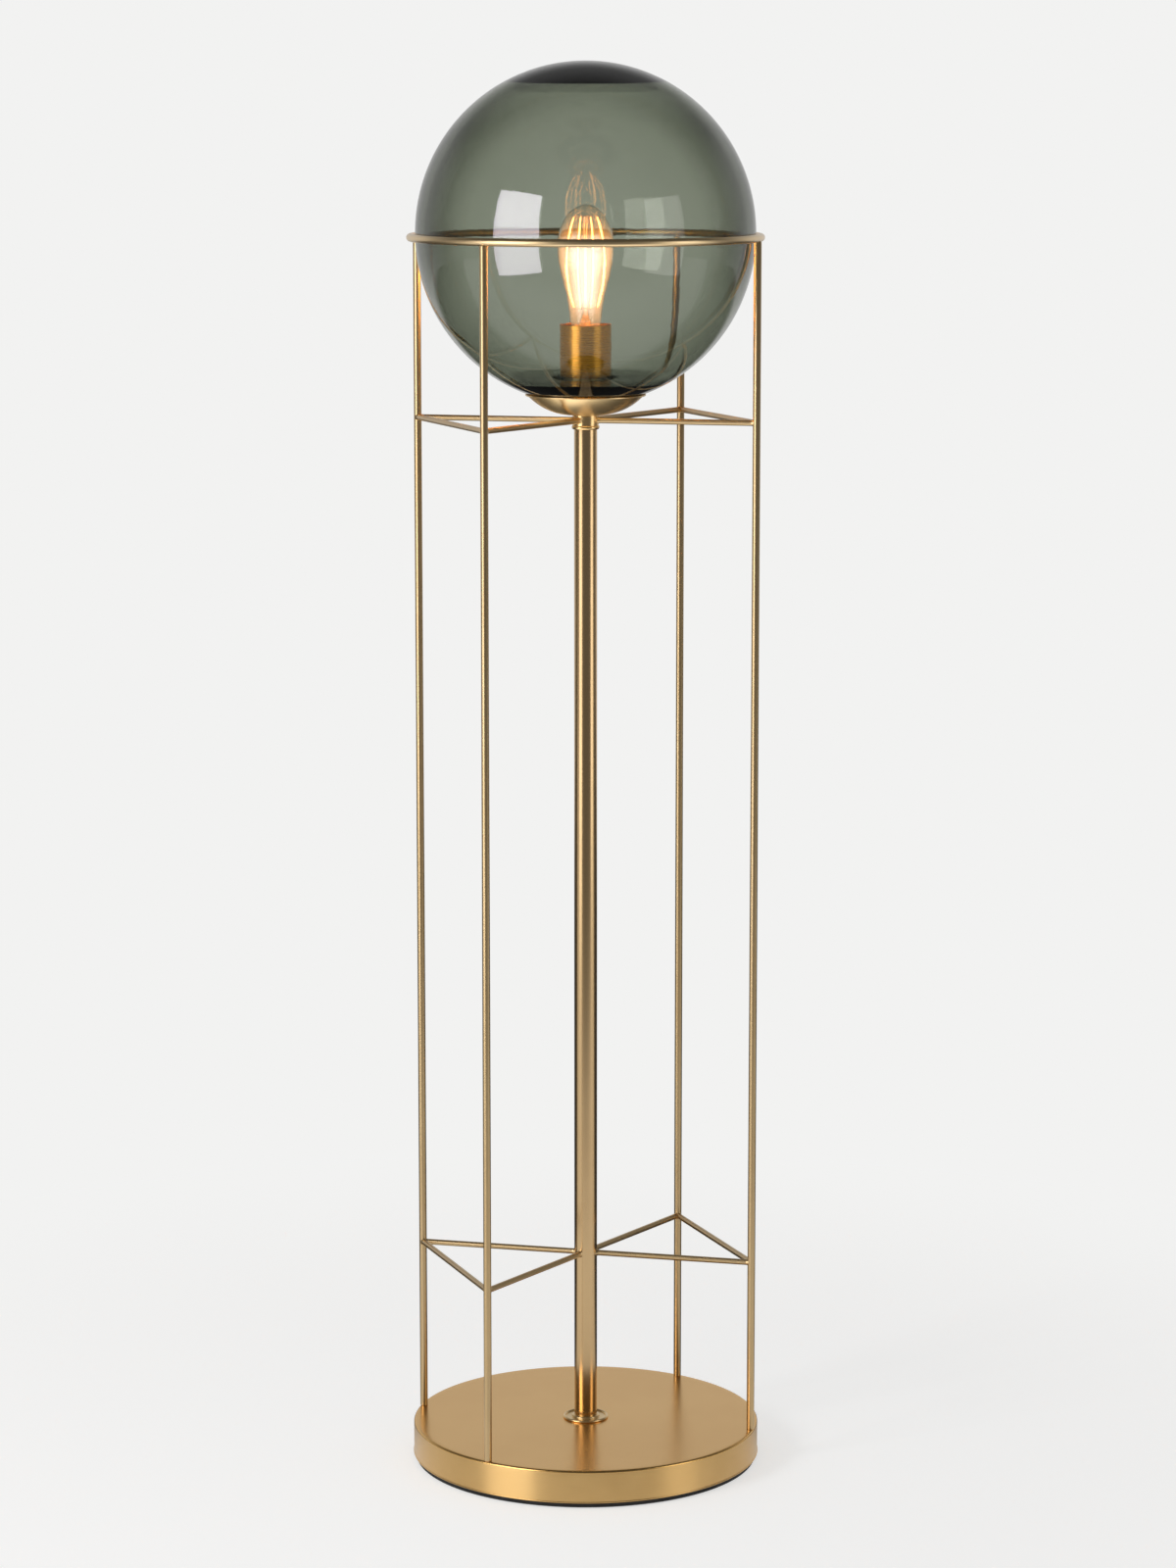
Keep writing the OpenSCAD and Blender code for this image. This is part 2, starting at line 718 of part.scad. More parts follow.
module bulb_stem() color("#dcdcd0", 0.6) {
    flare_r = bulb_seat_r - bulb_wall - push_gap;
    pinch_r = 5;
    pinch_h = 12;
    translate([0, 0, glass_low_z]) {
        cylinder(r = flare_r, h = bulb_wall);
        cylinder(r = pinch_r, h = pinch_h);
        translate([0, 0, pinch_h]) cylinder(r1 = pinch_r, r2 = stem_r, h = pinch_h);
        cylinder(r = stem_r, h = stem_top - glass_low_z);
    }
}

module filaments() color("#ffb84a") {
    for (i = [0:filament_count - 1]) rotate([0, 0, 360 * (i + 0.5) / filament_count])
        translate([filament_bow_r - arc_r, 0, filament_mid]) rotate([90, 0, 0])
            rotate_extrude(angle = 2 * arc_half, start = -arc_half, $fn = 720)
                translate([arc_r, 0]) circle(r = filament_r, $fn = 16);
}

module filament_supports() color(steel) {
    wire_r = 0.3;
    band_r = stem_r + push_gap + 0.8;
    band_h = 4 * wire_r;
    low = filament_low - filament_r - wire_r;
    high = filament_top + filament_r + wire_r;
    for (z = [low, high], i = [0:filament_count - 1])
        rotate([0, 0, 360 * (i + 0.5) / filament_count])
            translate([band_r - wire_r, 0, z]) rotate([0, 90, 0])
                cylinder(r = wire_r, h = filament_end_r - band_r + 2 * wire_r, $fn = 16);
    tube(band_r, stem_r + push_gap, low - band_h / 2, low + band_h / 2);
    translate([0, 0, stem_top]) cylinder(r = band_r, h = high + wire_r - stem_top);
}

module bulb_cap() color(brass) {
    tube(cap_r, cap_r - cap_wall, cap_z, cap_top);
}

module bulb_insulator() color(black) {
    translate([0, 0, cap_z - insulator_h])
        cylinder(r1 = tip_r + 1, r2 = cap_r - cap_wall - push_gap, h = insulator_h);
}

module bulb_contact() color(steel) {
    translate([0, 0, tip_z]) cylinder(r = tip_r, h = tip_h);
}

foot_pad();
bottom_plate();
plate_screws();
plate_spacers();
base_cover();
ballast();
cord_grommet();
terminal_block();
terminal_screw();
foot_ring();
lower_nipple();
lower_washer();
lower_nut();
cage_screws();
rod_right();
rod_back_right();
rod_left();
rod_front_left();
top_ring();
lower_strut_right();
lower_strut_back_right();
lower_strut_left();
lower_strut_front_left();
lower_tie_right();
lower_tie_left();
upper_strut_right();
upper_strut_back_right();
upper_strut_left();
upper_strut_front_left();
upper_tie_right();
upper_tie_left();
column();
bottom_bush();
top_bush();
upper_collar();
cup();
cup_gasket();
upper_nipple();
cup_washer();
cup_nut();
holder_spacer();
holder_base();
holder_sleeve();
holder_nut();
holder_body();
contact_insert();
screw_shell();
centre_contact();
lead_live();
lead_neutral();
lead_earth();
globe();
bulb_glass();
bulb_stem();
filaments();
filament_supports();
bulb_cap();
bulb_insulator();
bulb_contact();
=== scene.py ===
"""Globe floor lamp: smooth brass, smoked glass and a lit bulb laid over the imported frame."""
import json
import logging
import math
from dataclasses import dataclass
from enum import Enum

import bpy
import numpy as np
from mathutils import Euler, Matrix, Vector


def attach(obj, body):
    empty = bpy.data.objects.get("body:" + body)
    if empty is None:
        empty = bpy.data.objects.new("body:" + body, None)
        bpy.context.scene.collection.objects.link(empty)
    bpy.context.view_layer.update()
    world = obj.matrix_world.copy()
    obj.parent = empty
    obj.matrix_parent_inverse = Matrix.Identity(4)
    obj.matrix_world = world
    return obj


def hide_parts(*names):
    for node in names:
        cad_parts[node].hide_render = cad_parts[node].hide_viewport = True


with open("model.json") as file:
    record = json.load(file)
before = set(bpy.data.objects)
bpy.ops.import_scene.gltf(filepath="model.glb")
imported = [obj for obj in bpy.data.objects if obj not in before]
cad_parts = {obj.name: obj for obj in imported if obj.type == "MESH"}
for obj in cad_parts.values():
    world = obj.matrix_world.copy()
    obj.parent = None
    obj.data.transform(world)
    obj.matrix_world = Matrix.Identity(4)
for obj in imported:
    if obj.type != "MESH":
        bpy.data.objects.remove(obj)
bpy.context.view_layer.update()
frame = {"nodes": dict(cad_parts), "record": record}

# A colour as red, green and blue; a point; the two ends of a range; and a ramp, as the two
# ends of what comes in and the two values that it gives there.
Rgb = tuple[float, float, float]
Point = tuple[float, float, float]
Span = tuple[float, float]
Ramp = tuple[float, float, float, float]

LOG = logging.getLogger("globe_lamp")
SKIN_UV = "surface"
MM = 0.001
UP = np.array([0.0, 0.0, 1.0])
WHITE = (1.0, 1.0, 1.0)
BLACK = (0.0, 0.0, 0.0)

# Sizes in millimetres that more than one sub-assembly uses.
BASE_TOP = 39.5
COLUMN_R = 12.0
COLUMN_TOP = 1114.0
COLLAR_R = 13.5
GLOBE_R = 175.0
GLOBE_Z = 1299.72

# Working limits: the step along a plain straight run, how close points are one point and how
# small a rounding may be, in millimetres, and how close a point is to lie on the axis, in metres.
LONG_STEP = 60.0
SAME_POINT = 1e-4
LEAST_ROUNDING = 1e-6
ON_AXIS = 1e-7


@dataclass(frozen=True)
class Skin:
    """A closed skin of quads and triangles, with a UV in metres: u round it, v along it."""

    points: np.ndarray
    quads: np.ndarray
    quad_uv: np.ndarray
    tris: np.ndarray
    tri_uv: np.ndarray

    @staticmethod
    def joined(skins: list["Skin"]) -> "Skin":
        """Put several skins into one.

        Args:
            skins: the skins, in order.

        Returns:
            One skin that holds them all.
        """
        first = np.cumsum([0] + [len(s.points) for s in skins[:-1]])
        return Skin(
            np.concatenate([s.points for s in skins]),
            np.concatenate([s.quads + n for s, n in zip(skins, first)]),
            np.concatenate([s.quad_uv for s in skins]),
            np.concatenate([s.tris + n for s, n in zip(skins, first)]),
            np.concatenate([s.tri_uv for s in skins]),
        )

    def laid_along(self, origin: np.ndarray, direction: np.ndarray) -> "Skin":
        """Turn the skin's Z to a direction, then move it: point' = origin + x A + y B + z D.

        Args:
            origin: where the skin's own origin goes.
            direction: where its Z axis points.

        Returns:
            The moved skin.
        """
        axis = direction / np.linalg.norm(direction)
        hint = UP if abs(axis[2]) < 0.9 else np.array([0.0, 1.0, 0.0])
        across = np.cross(hint, axis)
        across /= np.linalg.norm(across)
        turn = np.stack([across, np.cross(axis, across), axis])
        return Skin(self.points @ turn + origin, self.quads, self.quad_uv, self.tris, self.tri_uv)

    def mesh(self, name: str) -> bpy.types.Mesh:
        """Make a mesh of the skin, its quads before its triangles.

        Args:
            name: name of the mesh.

        Returns:
            The mesh.
        """
        mesh = bpy.data.meshes.new(name)
        mesh.from_pydata(self.points.tolist(), [], self.quads.tolist() + self.tris.tolist())
        return mesh


def grid_skin(grid: np.ndarray, around: float, along: np.ndarray,
              poles: tuple[np.ndarray | None, np.ndarray | None] = (None, None), loop: bool = False) -> Skin:
    """Join a grid of points into faces. The columns close round, and so do the rows in a loop.

    Face (i, j) has the corners (i, j), (i, j+1), (i+1, j+1) and (i+1, j). A pole is one point
    that closes the first or the last row with triangles.

    Args:
        grid: points, rows by columns by 3.
        around: length that one turn of the columns stands for in the UV.
        along: distance of each row along the section, with one more entry in a loop.
        poles: the point before the first row and the one after the last.
        loop: whether the last row joins the first.

    Returns:
        The skin.
    """
    rows, columns = grid.shape[:2]
    i = np.arange(rows if loop else rows - 1)[:, None]
    j = np.arange(columns)[None, :]
    low, high = i * columns, (i + 1) % rows * columns
    left, right = j, (j + 1) % columns
    quads = np.stack([low + left, low + right, high + right, high + left], -1)
    u = around * np.stack([j, j + 1, j + 1, j], -1) / columns
    v = np.stack([along[i], along[i], along[i + 1], along[i + 1]], -1)
    quad_uv = np.stack(np.broadcast_arrays(u, v), -1)
    points = [grid.reshape(-1, 3)] + [p[None] for p in poles if p is not None]
    tris, tri_uv = [np.zeros((0, 3), int)], [np.zeros((0, 3, 2))]
    k, step = np.arange(columns), around / columns
    following = (k + 1) % columns
    if poles[0] is not None:
        apex = np.full(columns, rows * columns)
        tris.append(np.stack([apex, following, k], -1))
        reach = float(np.linalg.norm(grid[0, 0] - poles[0]))
        uv = np.stack([(k + 0.5) * step, (k + 1) * step, k * step], -1)
        tri_uv.append(np.stack([uv, np.broadcast_to([-reach, 0.0, 0.0], uv.shape) + along[0]], -1))
    if poles[1] is not None:
        apex = np.full(columns, rows * columns + (poles[0] is not None))
        base = (rows - 1) * columns
        tris.append(np.stack([base + k, base + following, apex], -1))
        reach = float(np.linalg.norm(grid[-1, 0] - poles[1]))
        uv = np.stack([k * step, (k + 1) * step, (k + 0.5) * step], -1)
        tri_uv.append(np.stack([uv, np.broadcast_to([0.0, 0.0, reach], uv.shape) + along[-1]], -1))
    return Skin(np.concatenate(points), quads.reshape(-1, 4), quad_uv.reshape(-1, 4, 2),
                np.concatenate(tris), np.concatenate(tri_uv))


def lengths(section: np.ndarray, loop: bool = False) -> np.ndarray:
    """Distance of each point along a section, from the first, and back to it in a loop."""
    path = np.concatenate([section, section[:1]]) if loop else section
    return np.concatenate([[0.0], np.cumsum(np.linalg.norm(np.diff(path, axis=0), axis=1))])


def revolve(section: np.ndarray, turns: int = 192, loop: bool = True) -> Skin:
    """Turn a half section round Z: x = r cos a, y = r sin a, z = z, with a from the back.

    Args:
        section: points (r, z), up the outer side and down the inner one.
        turns: number of steps in the turn.
        loop: whether the section closes on itself; if not, its ends may lie on the axis.

    Returns:
        The turned skin, with its seam at the back.
    """
    off_axis = section[:, 0] > ON_AXIS
    body, along = section[off_axis], lengths(section, loop)
    angle = np.linspace(0.0, 2 * np.pi, turns, endpoint=False) + np.pi / 2
    r, height = body[:, :1], np.broadcast_to(body[:, 1:], (len(body), turns))
    grid = np.stack([r * np.cos(angle), r * np.sin(angle), height], -1)
    first, last = (None if off_axis[k] else section[k, 1] * UP for k in (0, -1))
    rows = along if loop else along[off_axis]
    return grid_skin(grid, 2 * np.pi * float(r.max()), rows, (first, last), loop)


def rounded(corners: list[tuple[float, float, float]], steps: int = 6, pitch: float = 4.0,
            loop: bool = True) -> np.ndarray:
    """Round the corners of a half section and fill its straight runs with points.

    A corner's arc has its centre on the bisector, at radius / sin(half angle), and its points
    are the spherical mean of the two directions in which it leaves the sides.

    Args:
        corners: (r, z, rounding radius) of each corner, in millimetres.
        steps: number of steps in a rounding.
        pitch: greatest length of a straight step, in millimetres.
        loop: whether the section closes on itself.

    Returns:
        The points (r, z) in metres.
    """
    data = np.asarray(corners, float)
    here, radius = data[:, :2], np.maximum(data[:, 2:], LEAST_ROUNDING)
    back = np.roll(here, 1, 0) - here
    ahead = np.roll(here, -1, 0) - here
    back /= np.linalg.norm(back, axis=1, keepdims=True)
    ahead /= np.linalg.norm(ahead, axis=1, keepdims=True)
    half = np.arccos(np.clip((back * ahead).sum(1), -1, 1))[:, None] / 2
    middle = back + ahead
    middle /= np.maximum(np.linalg.norm(middle, axis=1, keepdims=True), 1e-12)
    centre = here + middle * radius / np.sin(half)
    first = (here + back * radius / np.tan(half) - centre) / radius
    last = (here + ahead * radius / np.tan(half) - centre) / radius
    swing = (np.pi - 2 * half)[:, None]
    s = np.linspace(0, 1, steps + 1)[None, :, None]
    mixed = np.sin((1 - s) * swing) * first[:, None] + np.sin(s * swing) * last[:, None]
    path = (centre[:, None] + radius[:, None] * mixed / np.maximum(np.sin(swing), 1e-9)).reshape(-1, 2)
    if not loop:
        path = path[steps:-steps]
    return filled(path, pitch, loop) * MM


def filled(path: np.ndarray, pitch: float, loop: bool = False) -> np.ndarray:
    """Drop double points from a path and step its straight runs.

    Args:
        path: points, rows by 2, in millimetres.
        pitch: greatest length of a step.
        loop: whether the path closes on itself.

    Returns:
        The finer path.
    """
    closed = np.concatenate([path, path[:1]]) if loop else path
    apart = np.linalg.norm(np.diff(closed, axis=0), axis=1) > SAME_POINT
    closed = closed[np.concatenate([[True], apart])]
    count = np.maximum(1, np.ceil(np.linalg.norm(np.diff(closed, axis=0), axis=1) / pitch)).astype(int)
    leg = np.repeat(np.arange(len(count)), count)
    part = (np.arange(count.sum()) - np.repeat(np.cumsum(count) - count, count)) / count[leg]
    fine = closed[leg] + (closed[leg + 1] - closed[leg]) * part[:, None]
    return fine if loop else np.concatenate([fine, closed[-1:]])


def arc(centre: Span, radius: float, start: float, end: float, steps: int) -> np.ndarray:
    """Points of an arc in a half section: (r, z) = centre + radius (cos a, sin a), a in degrees."""
    a = np.radians(np.linspace(start, end, steps + 1))[:, None]
    return np.asarray(centre) + radius * np.concatenate([np.cos(a), np.sin(a)], 1)


def tube(path: np.ndarray, side: np.ndarray, radius: np.ndarray, sides: int) -> Skin:
    """Carry a circle along a flat path: point = path + radius (cos a side + sin a tangent x side).

    Args:
        path: points of the middle line, rows by 3.
        side: unit vector at right angles to the plane of the path.
        radius: radius at each point.
        sides: number of points round the circle.

    Returns:
        The tube, closed with a pole at each end.
    """
    tangent = np.gradient(path, axis=0)
    tangent /= np.linalg.norm(tangent, axis=1, keepdims=True)
    other = np.cross(tangent, side)
    a = np.linspace(0, 2 * np.pi, sides, endpoint=False)[None, :, None]
    grid = path[:, None] + radius[:, None, None] * (np.cos(a) * side + np.sin(a) * other[:, None])
    return grid_skin(grid, 2 * np.pi * float(radius.max()), lengths(path), (path[0], path[-1]))


def wires(count: int, r: np.ndarray, z: np.ndarray, width: np.ndarray, sides: int) -> list[Skin]:
    """Set one flat wire at equal turns round the axis: point = r (cos a, sin a) and z.

    Args:
        count: number of wires; the first is half a turn step off the X axis.
        r: distance of each point of the wire from the axis, in millimetres.
        z: height of each point, in millimetres.
        width: radius of the wire at each point, in millimetres.
        sides: number of points round the wire.

    Returns:
        The wires.
    """
    skins = []
    for k in range(count):
        angle = math.radians(360 * (k + 0.5) / count)
        out = np.array([math.cos(angle), math.sin(angle), 0.0])
        path = (r[:, None] * out + z[:, None] * UP) * MM
        skins.append(tube(path, np.array([-out[1], out[0], 0.0]), width * MM, sides))
    return skins


def bar(start: np.ndarray, end: np.ndarray, radius: float, flare: float, edge: float = 0.3,
        turns: int = 40) -> Skin:
    """A straight round bar whose ends swell into brazed fillets.

    The radius is radius + flare (1 - s / reach)^2 within reach of an end, where s is the
    distance from that end's joint face.

    Args:
        start: middle of the first end, in metres.
        end: middle of the last end, in metres.
        radius: radius of the bar, in millimetres.
        flare: how much the fillet adds at the ends, in millimetres.
        edge: rounding of the end edges, in millimetres.
        turns: number of steps round the bar.

    Returns:
        The bar.
    """
    span = float(np.linalg.norm(end - start)) / MM
    reach = 3.2 * flare + 1.0
    s = np.linspace(0, reach, 9)
    swell = radius + flare * (1 - s / reach) ** 2
    wide = radius + flare
    low = np.stack([swell, s + edge], 1)
    high = np.stack([swell, span - edge - s], 1)[::-1]
    foot = arc((wide - edge, edge), edge, -90, 0, 4)
    head = arc((wide - edge, span - edge), edge, 0, 90, 4)
    section = np.concatenate([[[0.0, 0.0]], foot, low[1:], high[:-1], head, [[0.0, span]]])
    return revolve(filled(section, LONG_STEP) * MM, turns, False).laid_along(start, end - start)


def polar(distance: float, azimuth: float, height: float) -> np.ndarray:
    """A point in metres from its distance to the axis and height in millimetres, azimuth in degrees."""
    a = math.radians(azimuth)
    return np.array([distance * math.cos(a), distance * math.sin(a), height]) * MM


def linked(name: str, data: bpy.types.ID) -> bpy.types.Object:
    """Put a new object into the scene.

    Args:
        name: name of the object.
        data: its mesh, lamp or camera.

    Returns:
        The object.
    """
    thing = bpy.data.objects.new(name, data)
    bpy.context.scene.collection.objects.link(thing)
    return thing


def colour(rgb: Rgb, gain: float = 1.0, lift: float = 0.0) -> tuple[float, float, float, float]:
    """A colour with full alpha; each channel is gain times itself plus lift, and 1 at most."""
    return (*(min(1.0, gain * c + lift) for c in rgb), 1.0)


class Sheet:
    """A node tree with short calls that fill it."""

    def __init__(self, tree: bpy.types.NodeTree) -> None:
        """Start on a tree and clear it."""
        self.tree = tree
        tree.nodes.clear()

    def feed(self, node: bpy.types.Node, inputs: dict[int | str, object]) -> bpy.types.Node:
        """Fill a node's inputs.

        Args:
            node: the node.
            inputs: value or feeding socket of each named input.

        Returns:
            The node.
        """
        for name, value in inputs.items():
            if isinstance(value, bpy.types.NodeSocket):
                self.tree.links.new(value, node.inputs[name])
            else:
                node.inputs[name].default_value = value
        return node

    def add(self, kind: str, inputs: dict[int | str, object] | None = None,
            **settings: object) -> bpy.types.Node:
        """Add a node.

        Args:
            kind: type name of the node.
            inputs: value or feeding socket of each named input.
            settings: properties of the node.

        Returns:
            The node.
        """
        node = self.tree.nodes.new(kind)
        for name, value in settings.items():
            setattr(node, name, value)
        return self.feed(node, inputs or {})

    def group(self, tree: bpy.types.NodeTree, **inputs: object) -> bpy.types.NodeSocket:
        """Place a node group with its inputs, and take what it gives."""
        return self.feed(self.add("ShaderNodeGroup", node_tree=tree), inputs).outputs[0]

    def blended(self, factor: object, first: bpy.types.Node, second: bpy.types.Node) -> bpy.types.Node:
        """A shader between two shaders."""
        return self.add("ShaderNodeMixShader", {0: factor, 1: first.outputs[0], 2: second.outputs[0]})

    def maths(self, operation: str, a: object, b: object = 0.0) -> bpy.types.NodeSocket:
        """The result of a Math node."""
        return self.add("ShaderNodeMath", {0: a, 1: b}, operation=operation).outputs[0]

    def times(self, a: object, b: object) -> bpy.types.NodeSocket:
        """The product of two values."""
        return self.maths("MULTIPLY", a, b)

    def most(self, a: object, b: object) -> bpy.types.NodeSocket:
        """The greater of two values."""
        return self.maths("MAXIMUM", a, b)

    def ramp(self, value: object, low: float, high: float, to_low: float, to_high: float,
             smooth: bool = False) -> bpy.types.NodeSocket:
        """Take a value from one range to another, and hold it at the ends.

        Args:
            value: the value or its socket.
            low: start of the range that it comes from.
            high: end of that range.
            to_low: what low gives.
            to_high: what high gives.
            smooth: whether it eases at both ends.

        Returns:
            The new value.
        """
        kind = "SMOOTHSTEP" if smooth else "LINEAR"
        inputs = {"Value": value, "From Min": low, "From Max": high, "To Min": to_low, "To Max": to_high}
        return self.add("ShaderNodeMapRange", inputs, interpolation_type=kind).outputs["Result"]

    def mix(self, factor: object, a: object, b: object) -> bpy.types.NodeSocket:
        """A colour between a and b."""
        return self.add("ShaderNodeMix", {0: factor, 6: a, 7: b}, data_type="RGBA").outputs[2]

    def bump(self, strength: float, depth: float, height: bpy.types.NodeSocket) -> bpy.types.NodeSocket:
        """The normal that a height bends, where 1 stands for depth in metres."""
        inputs = {"Strength": strength, "Distance": depth, "Height": height}
        return self.add("ShaderNodeBump", inputs).outputs[0]

    def place(self) -> bpy.types.NodeSocket:
        """The Object coordinates of the surface."""
        return self.add("ShaderNodeTexCoord").outputs["Object"]

    def along(self, axis: int) -> bpy.types.NodeSocket:
        """One of the Object coordinates, in metres."""
        return self.add("ShaderNodeSeparateXYZ", {0: self.place()}).outputs[axis]

    def off_middle(self, span: Span) -> bpy.types.NodeSocket:
        """How far a place lies over or under the middle of a span of height."""
        return self.maths("ABSOLUTE", self.maths("SUBTRACT", self.along(2), (span[0] + span[1]) / 2))

    def facing(self) -> bpy.types.NodeSocket:
        """0 where the surface faces the eye and 1 where it turns away."""
        return self.add("ShaderNodeLayerWeight", {"Blend": 0.5}).outputs["Facing"]

    def ray(self, kind: str) -> bpy.types.NodeSocket:
        """One output of Light Path."""
        return self.add("ShaderNodeLightPath").outputs[kind]

    def seen(self) -> bpy.types.NodeSocket:
        """1 for rays that show what is there: from the camera, a mirror or through glass."""
        shown = self.maths("ADD", self.ray("Is Camera Ray"), self.ray("Is Glossy Ray"))
        return self.maths("MINIMUM", self.maths("ADD", shown, self.ray("Is Transmission Ray")), 1.0)


class Effects:
    """Shader groups that more than one finish uses, each built once."""

    def __init__(self) -> None:
        """Build the groups."""
        self.grain = self._grain()
        self.clouds = self._clouds()
        self.specks = self._specks()

    @staticmethod
    def _tree(name: str, floats: dict[str, float], vector: bool,
              output: str) -> tuple[Sheet, bpy.types.Node, bpy.types.Node]:
        """Start a group.

        Args:
            name: name of the group.
            floats: name and default of each number that it takes.
            vector: whether it takes coordinates.
            output: name of the value that it gives.

        Returns:
            The sheet to draw on, the node with its inputs and the node for its output.
        """
        tree = bpy.data.node_groups.new(name, "ShaderNodeTree")
        if vector:
            tree.interface.new_socket("Vector", in_out="INPUT", socket_type="NodeSocketVector")
        for key, value in floats.items():
            socket = tree.interface.new_socket(key, in_out="INPUT", socket_type="NodeSocketFloat")
            socket.default_value = value
        tree.interface.new_socket(output, in_out="OUTPUT", socket_type="NodeSocketFloat")
        sheet = Sheet(tree)
        return sheet, sheet.add("NodeGroupInput"), sheet.add("NodeGroupOutput")

    def _grain(self) -> bpy.types.NodeTree:
        """Brush lines: noise whose coordinates are stretched by Across and Along.

        Returns:
            The group.
        """
        sheet, given, out = self._tree("brush_lines", {"Across": 2200.0, "Along": 40.0}, True, "Lines")
        across, along = given.outputs["Across"], given.outputs["Along"]
        stretch = sheet.add("ShaderNodeCombineXYZ", {0: across, 1: along, 2: across})
        where = sheet.add("ShaderNodeVectorMath", {0: given.outputs["Vector"], 1: stretch.outputs[0]},
                          operation="MULTIPLY")
        noise = sheet.add("ShaderNodeTexNoise", {"Vector": where.outputs[0], "Scale": 1.0, "Detail": 3.0,
                                                 "Roughness": 0.6})
        sheet.feed(out, {0: noise.outputs["Fac"]})
        return sheet.tree

    def _clouds(self) -> bpy.types.NodeTree:
        """Soft patches: two sizes of noise on Object coordinates, eased between Low and High.

        Returns:
            The group.
        """
        numbers = {"Scale": 9.0, "Low": 0.35, "High": 0.65}
        sheet, given, out = self._tree("soft_patches", numbers, False, "Mask")
        where, scale = sheet.place(), given.outputs["Scale"]
        wide = sheet.add("ShaderNodeTexNoise", {"Vector": where, "Scale": scale, "Detail": 2.0})
        finer = sheet.times(scale, 6.3)
        fine = sheet.add("ShaderNodeTexNoise", {"Vector": where, "Scale": finer, "Detail": 3.0})
        blend = sheet.maths("ADD", sheet.times(wide.outputs["Fac"], 0.7),
                            sheet.times(fine.outputs["Fac"], 0.3))
        low, high = given.outputs["Low"], given.outputs["High"]
        sheet.feed(out, {0: sheet.ramp(blend, low, high, 0.0, 1.0, smooth=True)})
        return sheet.tree

    def _specks(self) -> bpy.types.NodeTree:
        """Small pits or dust: the middle of each Voronoi cell, kept where the cell's own colour is low.

        Returns:
            The group.
        """
        sheet, given, out = self._tree("specks", {"Scale": 400.0, "Share": 0.2, "Size": 0.25}, False, "Mask")
        cells = sheet.add("ShaderNodeTexVoronoi", {"Vector": sheet.place(), "Scale": given.outputs["Scale"]})
        pick = sheet.add("ShaderNodeSeparateColor", {0: cells.outputs["Color"]}).outputs[0]
        chosen = sheet.maths("LESS_THAN", pick, given.outputs["Share"])
        spot = sheet.ramp(cells.outputs["Distance"], given.outputs["Size"], 0.0, 0.0, 1.0, smooth=True)
        sheet.feed(out, {0: sheet.times(spot, chosen)})
        return sheet.tree


class Lay(Enum):
    """Which way the brush lines of a finish run."""

    LENGTHWISE = "lengthwise"
    ROUND = "round"
    OBJECT = "object"


def new_material(name: str) -> tuple[bpy.types.Material, Sheet, bpy.types.Node]:
    """Make an empty material.

    Args:
        name: name of the material.

    Returns:
        The material, the sheet to draw on and its Output node.
    """
    material = bpy.data.materials.new(name)
    material.use_nodes = True
    sheet = Sheet(material.node_tree)
    return material, sheet, sheet.add("ShaderNodeOutputMaterial")


@dataclass(frozen=True)
class BrassFinish:
    """Satin brass with brush lines, soft patches of lacquer and a few pale rubs."""

    name: str
    light: Rgb
    deep: Rgb
    roughness: float
    lay: Lay
    across: float = 2200.0
    along: float = 40.0
    bump: float = 0.12
    bump_depth: float = 0.0002
    spread: float = 0.06
    contrast: float = 0.22
    lacquer: float = 0.5
    lacquer_roughness: float = 0.18
    rubbed: float = 0.25
    anisotropy: float = 0.0
    patch_share: float = 0.55
    line_tone: float = 0.6
    rub_tone: float = 1.15

    def make(self, effects: Effects) -> bpy.types.Material:
        """Build the material.

        Args:
            effects: the shared shader groups.

        Returns:
            The material.
        """
        material, sheet, out = new_material(self.name)
        if self.lay is Lay.OBJECT:
            where = sheet.place()
        else:
            where = sheet.add("ShaderNodeUVMap", uv_map=SKIN_UV).outputs["UV"]
        across, along = (self.along, self.across) if self.lay is Lay.ROUND else (self.across, self.along)
        lines = sheet.group(effects.grain, Vector=where, Across=across, Along=along)
        patches = sheet.group(effects.clouds, Scale=7.0, Low=0.36, High=0.66)
        rubs = sheet.group(effects.specks, Scale=260.0, Share=0.05, Size=0.2)
        tone = sheet.mix(sheet.times(patches, self.patch_share), colour(self.light), colour(self.deep))
        tone = sheet.mix(sheet.ramp(lines, 0.3, 0.75, 0.0, self.contrast), tone,
                         colour(self.deep, self.line_tone))
        tone = sheet.mix(sheet.times(rubs, self.rubbed), tone, colour(self.light, self.rub_tone))
        half = self.spread / 2
        worn = sheet.ramp(patches, 0.0, 1.0, self.roughness - half, self.roughness + half)
        rough = sheet.maths("ADD", worn, sheet.ramp(lines, 0.3, 0.7, -half, self.spread * 0.65))
        shader = sheet.add("ShaderNodeBsdfPrincipled", {
            "Base Color": tone, "Metallic": 1.0, "Roughness": rough, "Coat Weight": self.lacquer,
            "Coat Roughness": self.lacquer_roughness,
            "Normal": sheet.bump(self.bump, self.bump_depth, lines),
        })
        if self.anisotropy:
            tangent = sheet.add("ShaderNodeTangent", direction_type="UV_MAP", uv_map=SKIN_UV)
            sheet.feed(shader, {"Tangent": tangent.outputs[0], "Anisotropic": self.anisotropy,
                                "Anisotropic Rotation": 0.25 if self.lay is Lay.ROUND else 0.0})
        sheet.feed(out, {"Surface": shader.outputs[0]})
        return material


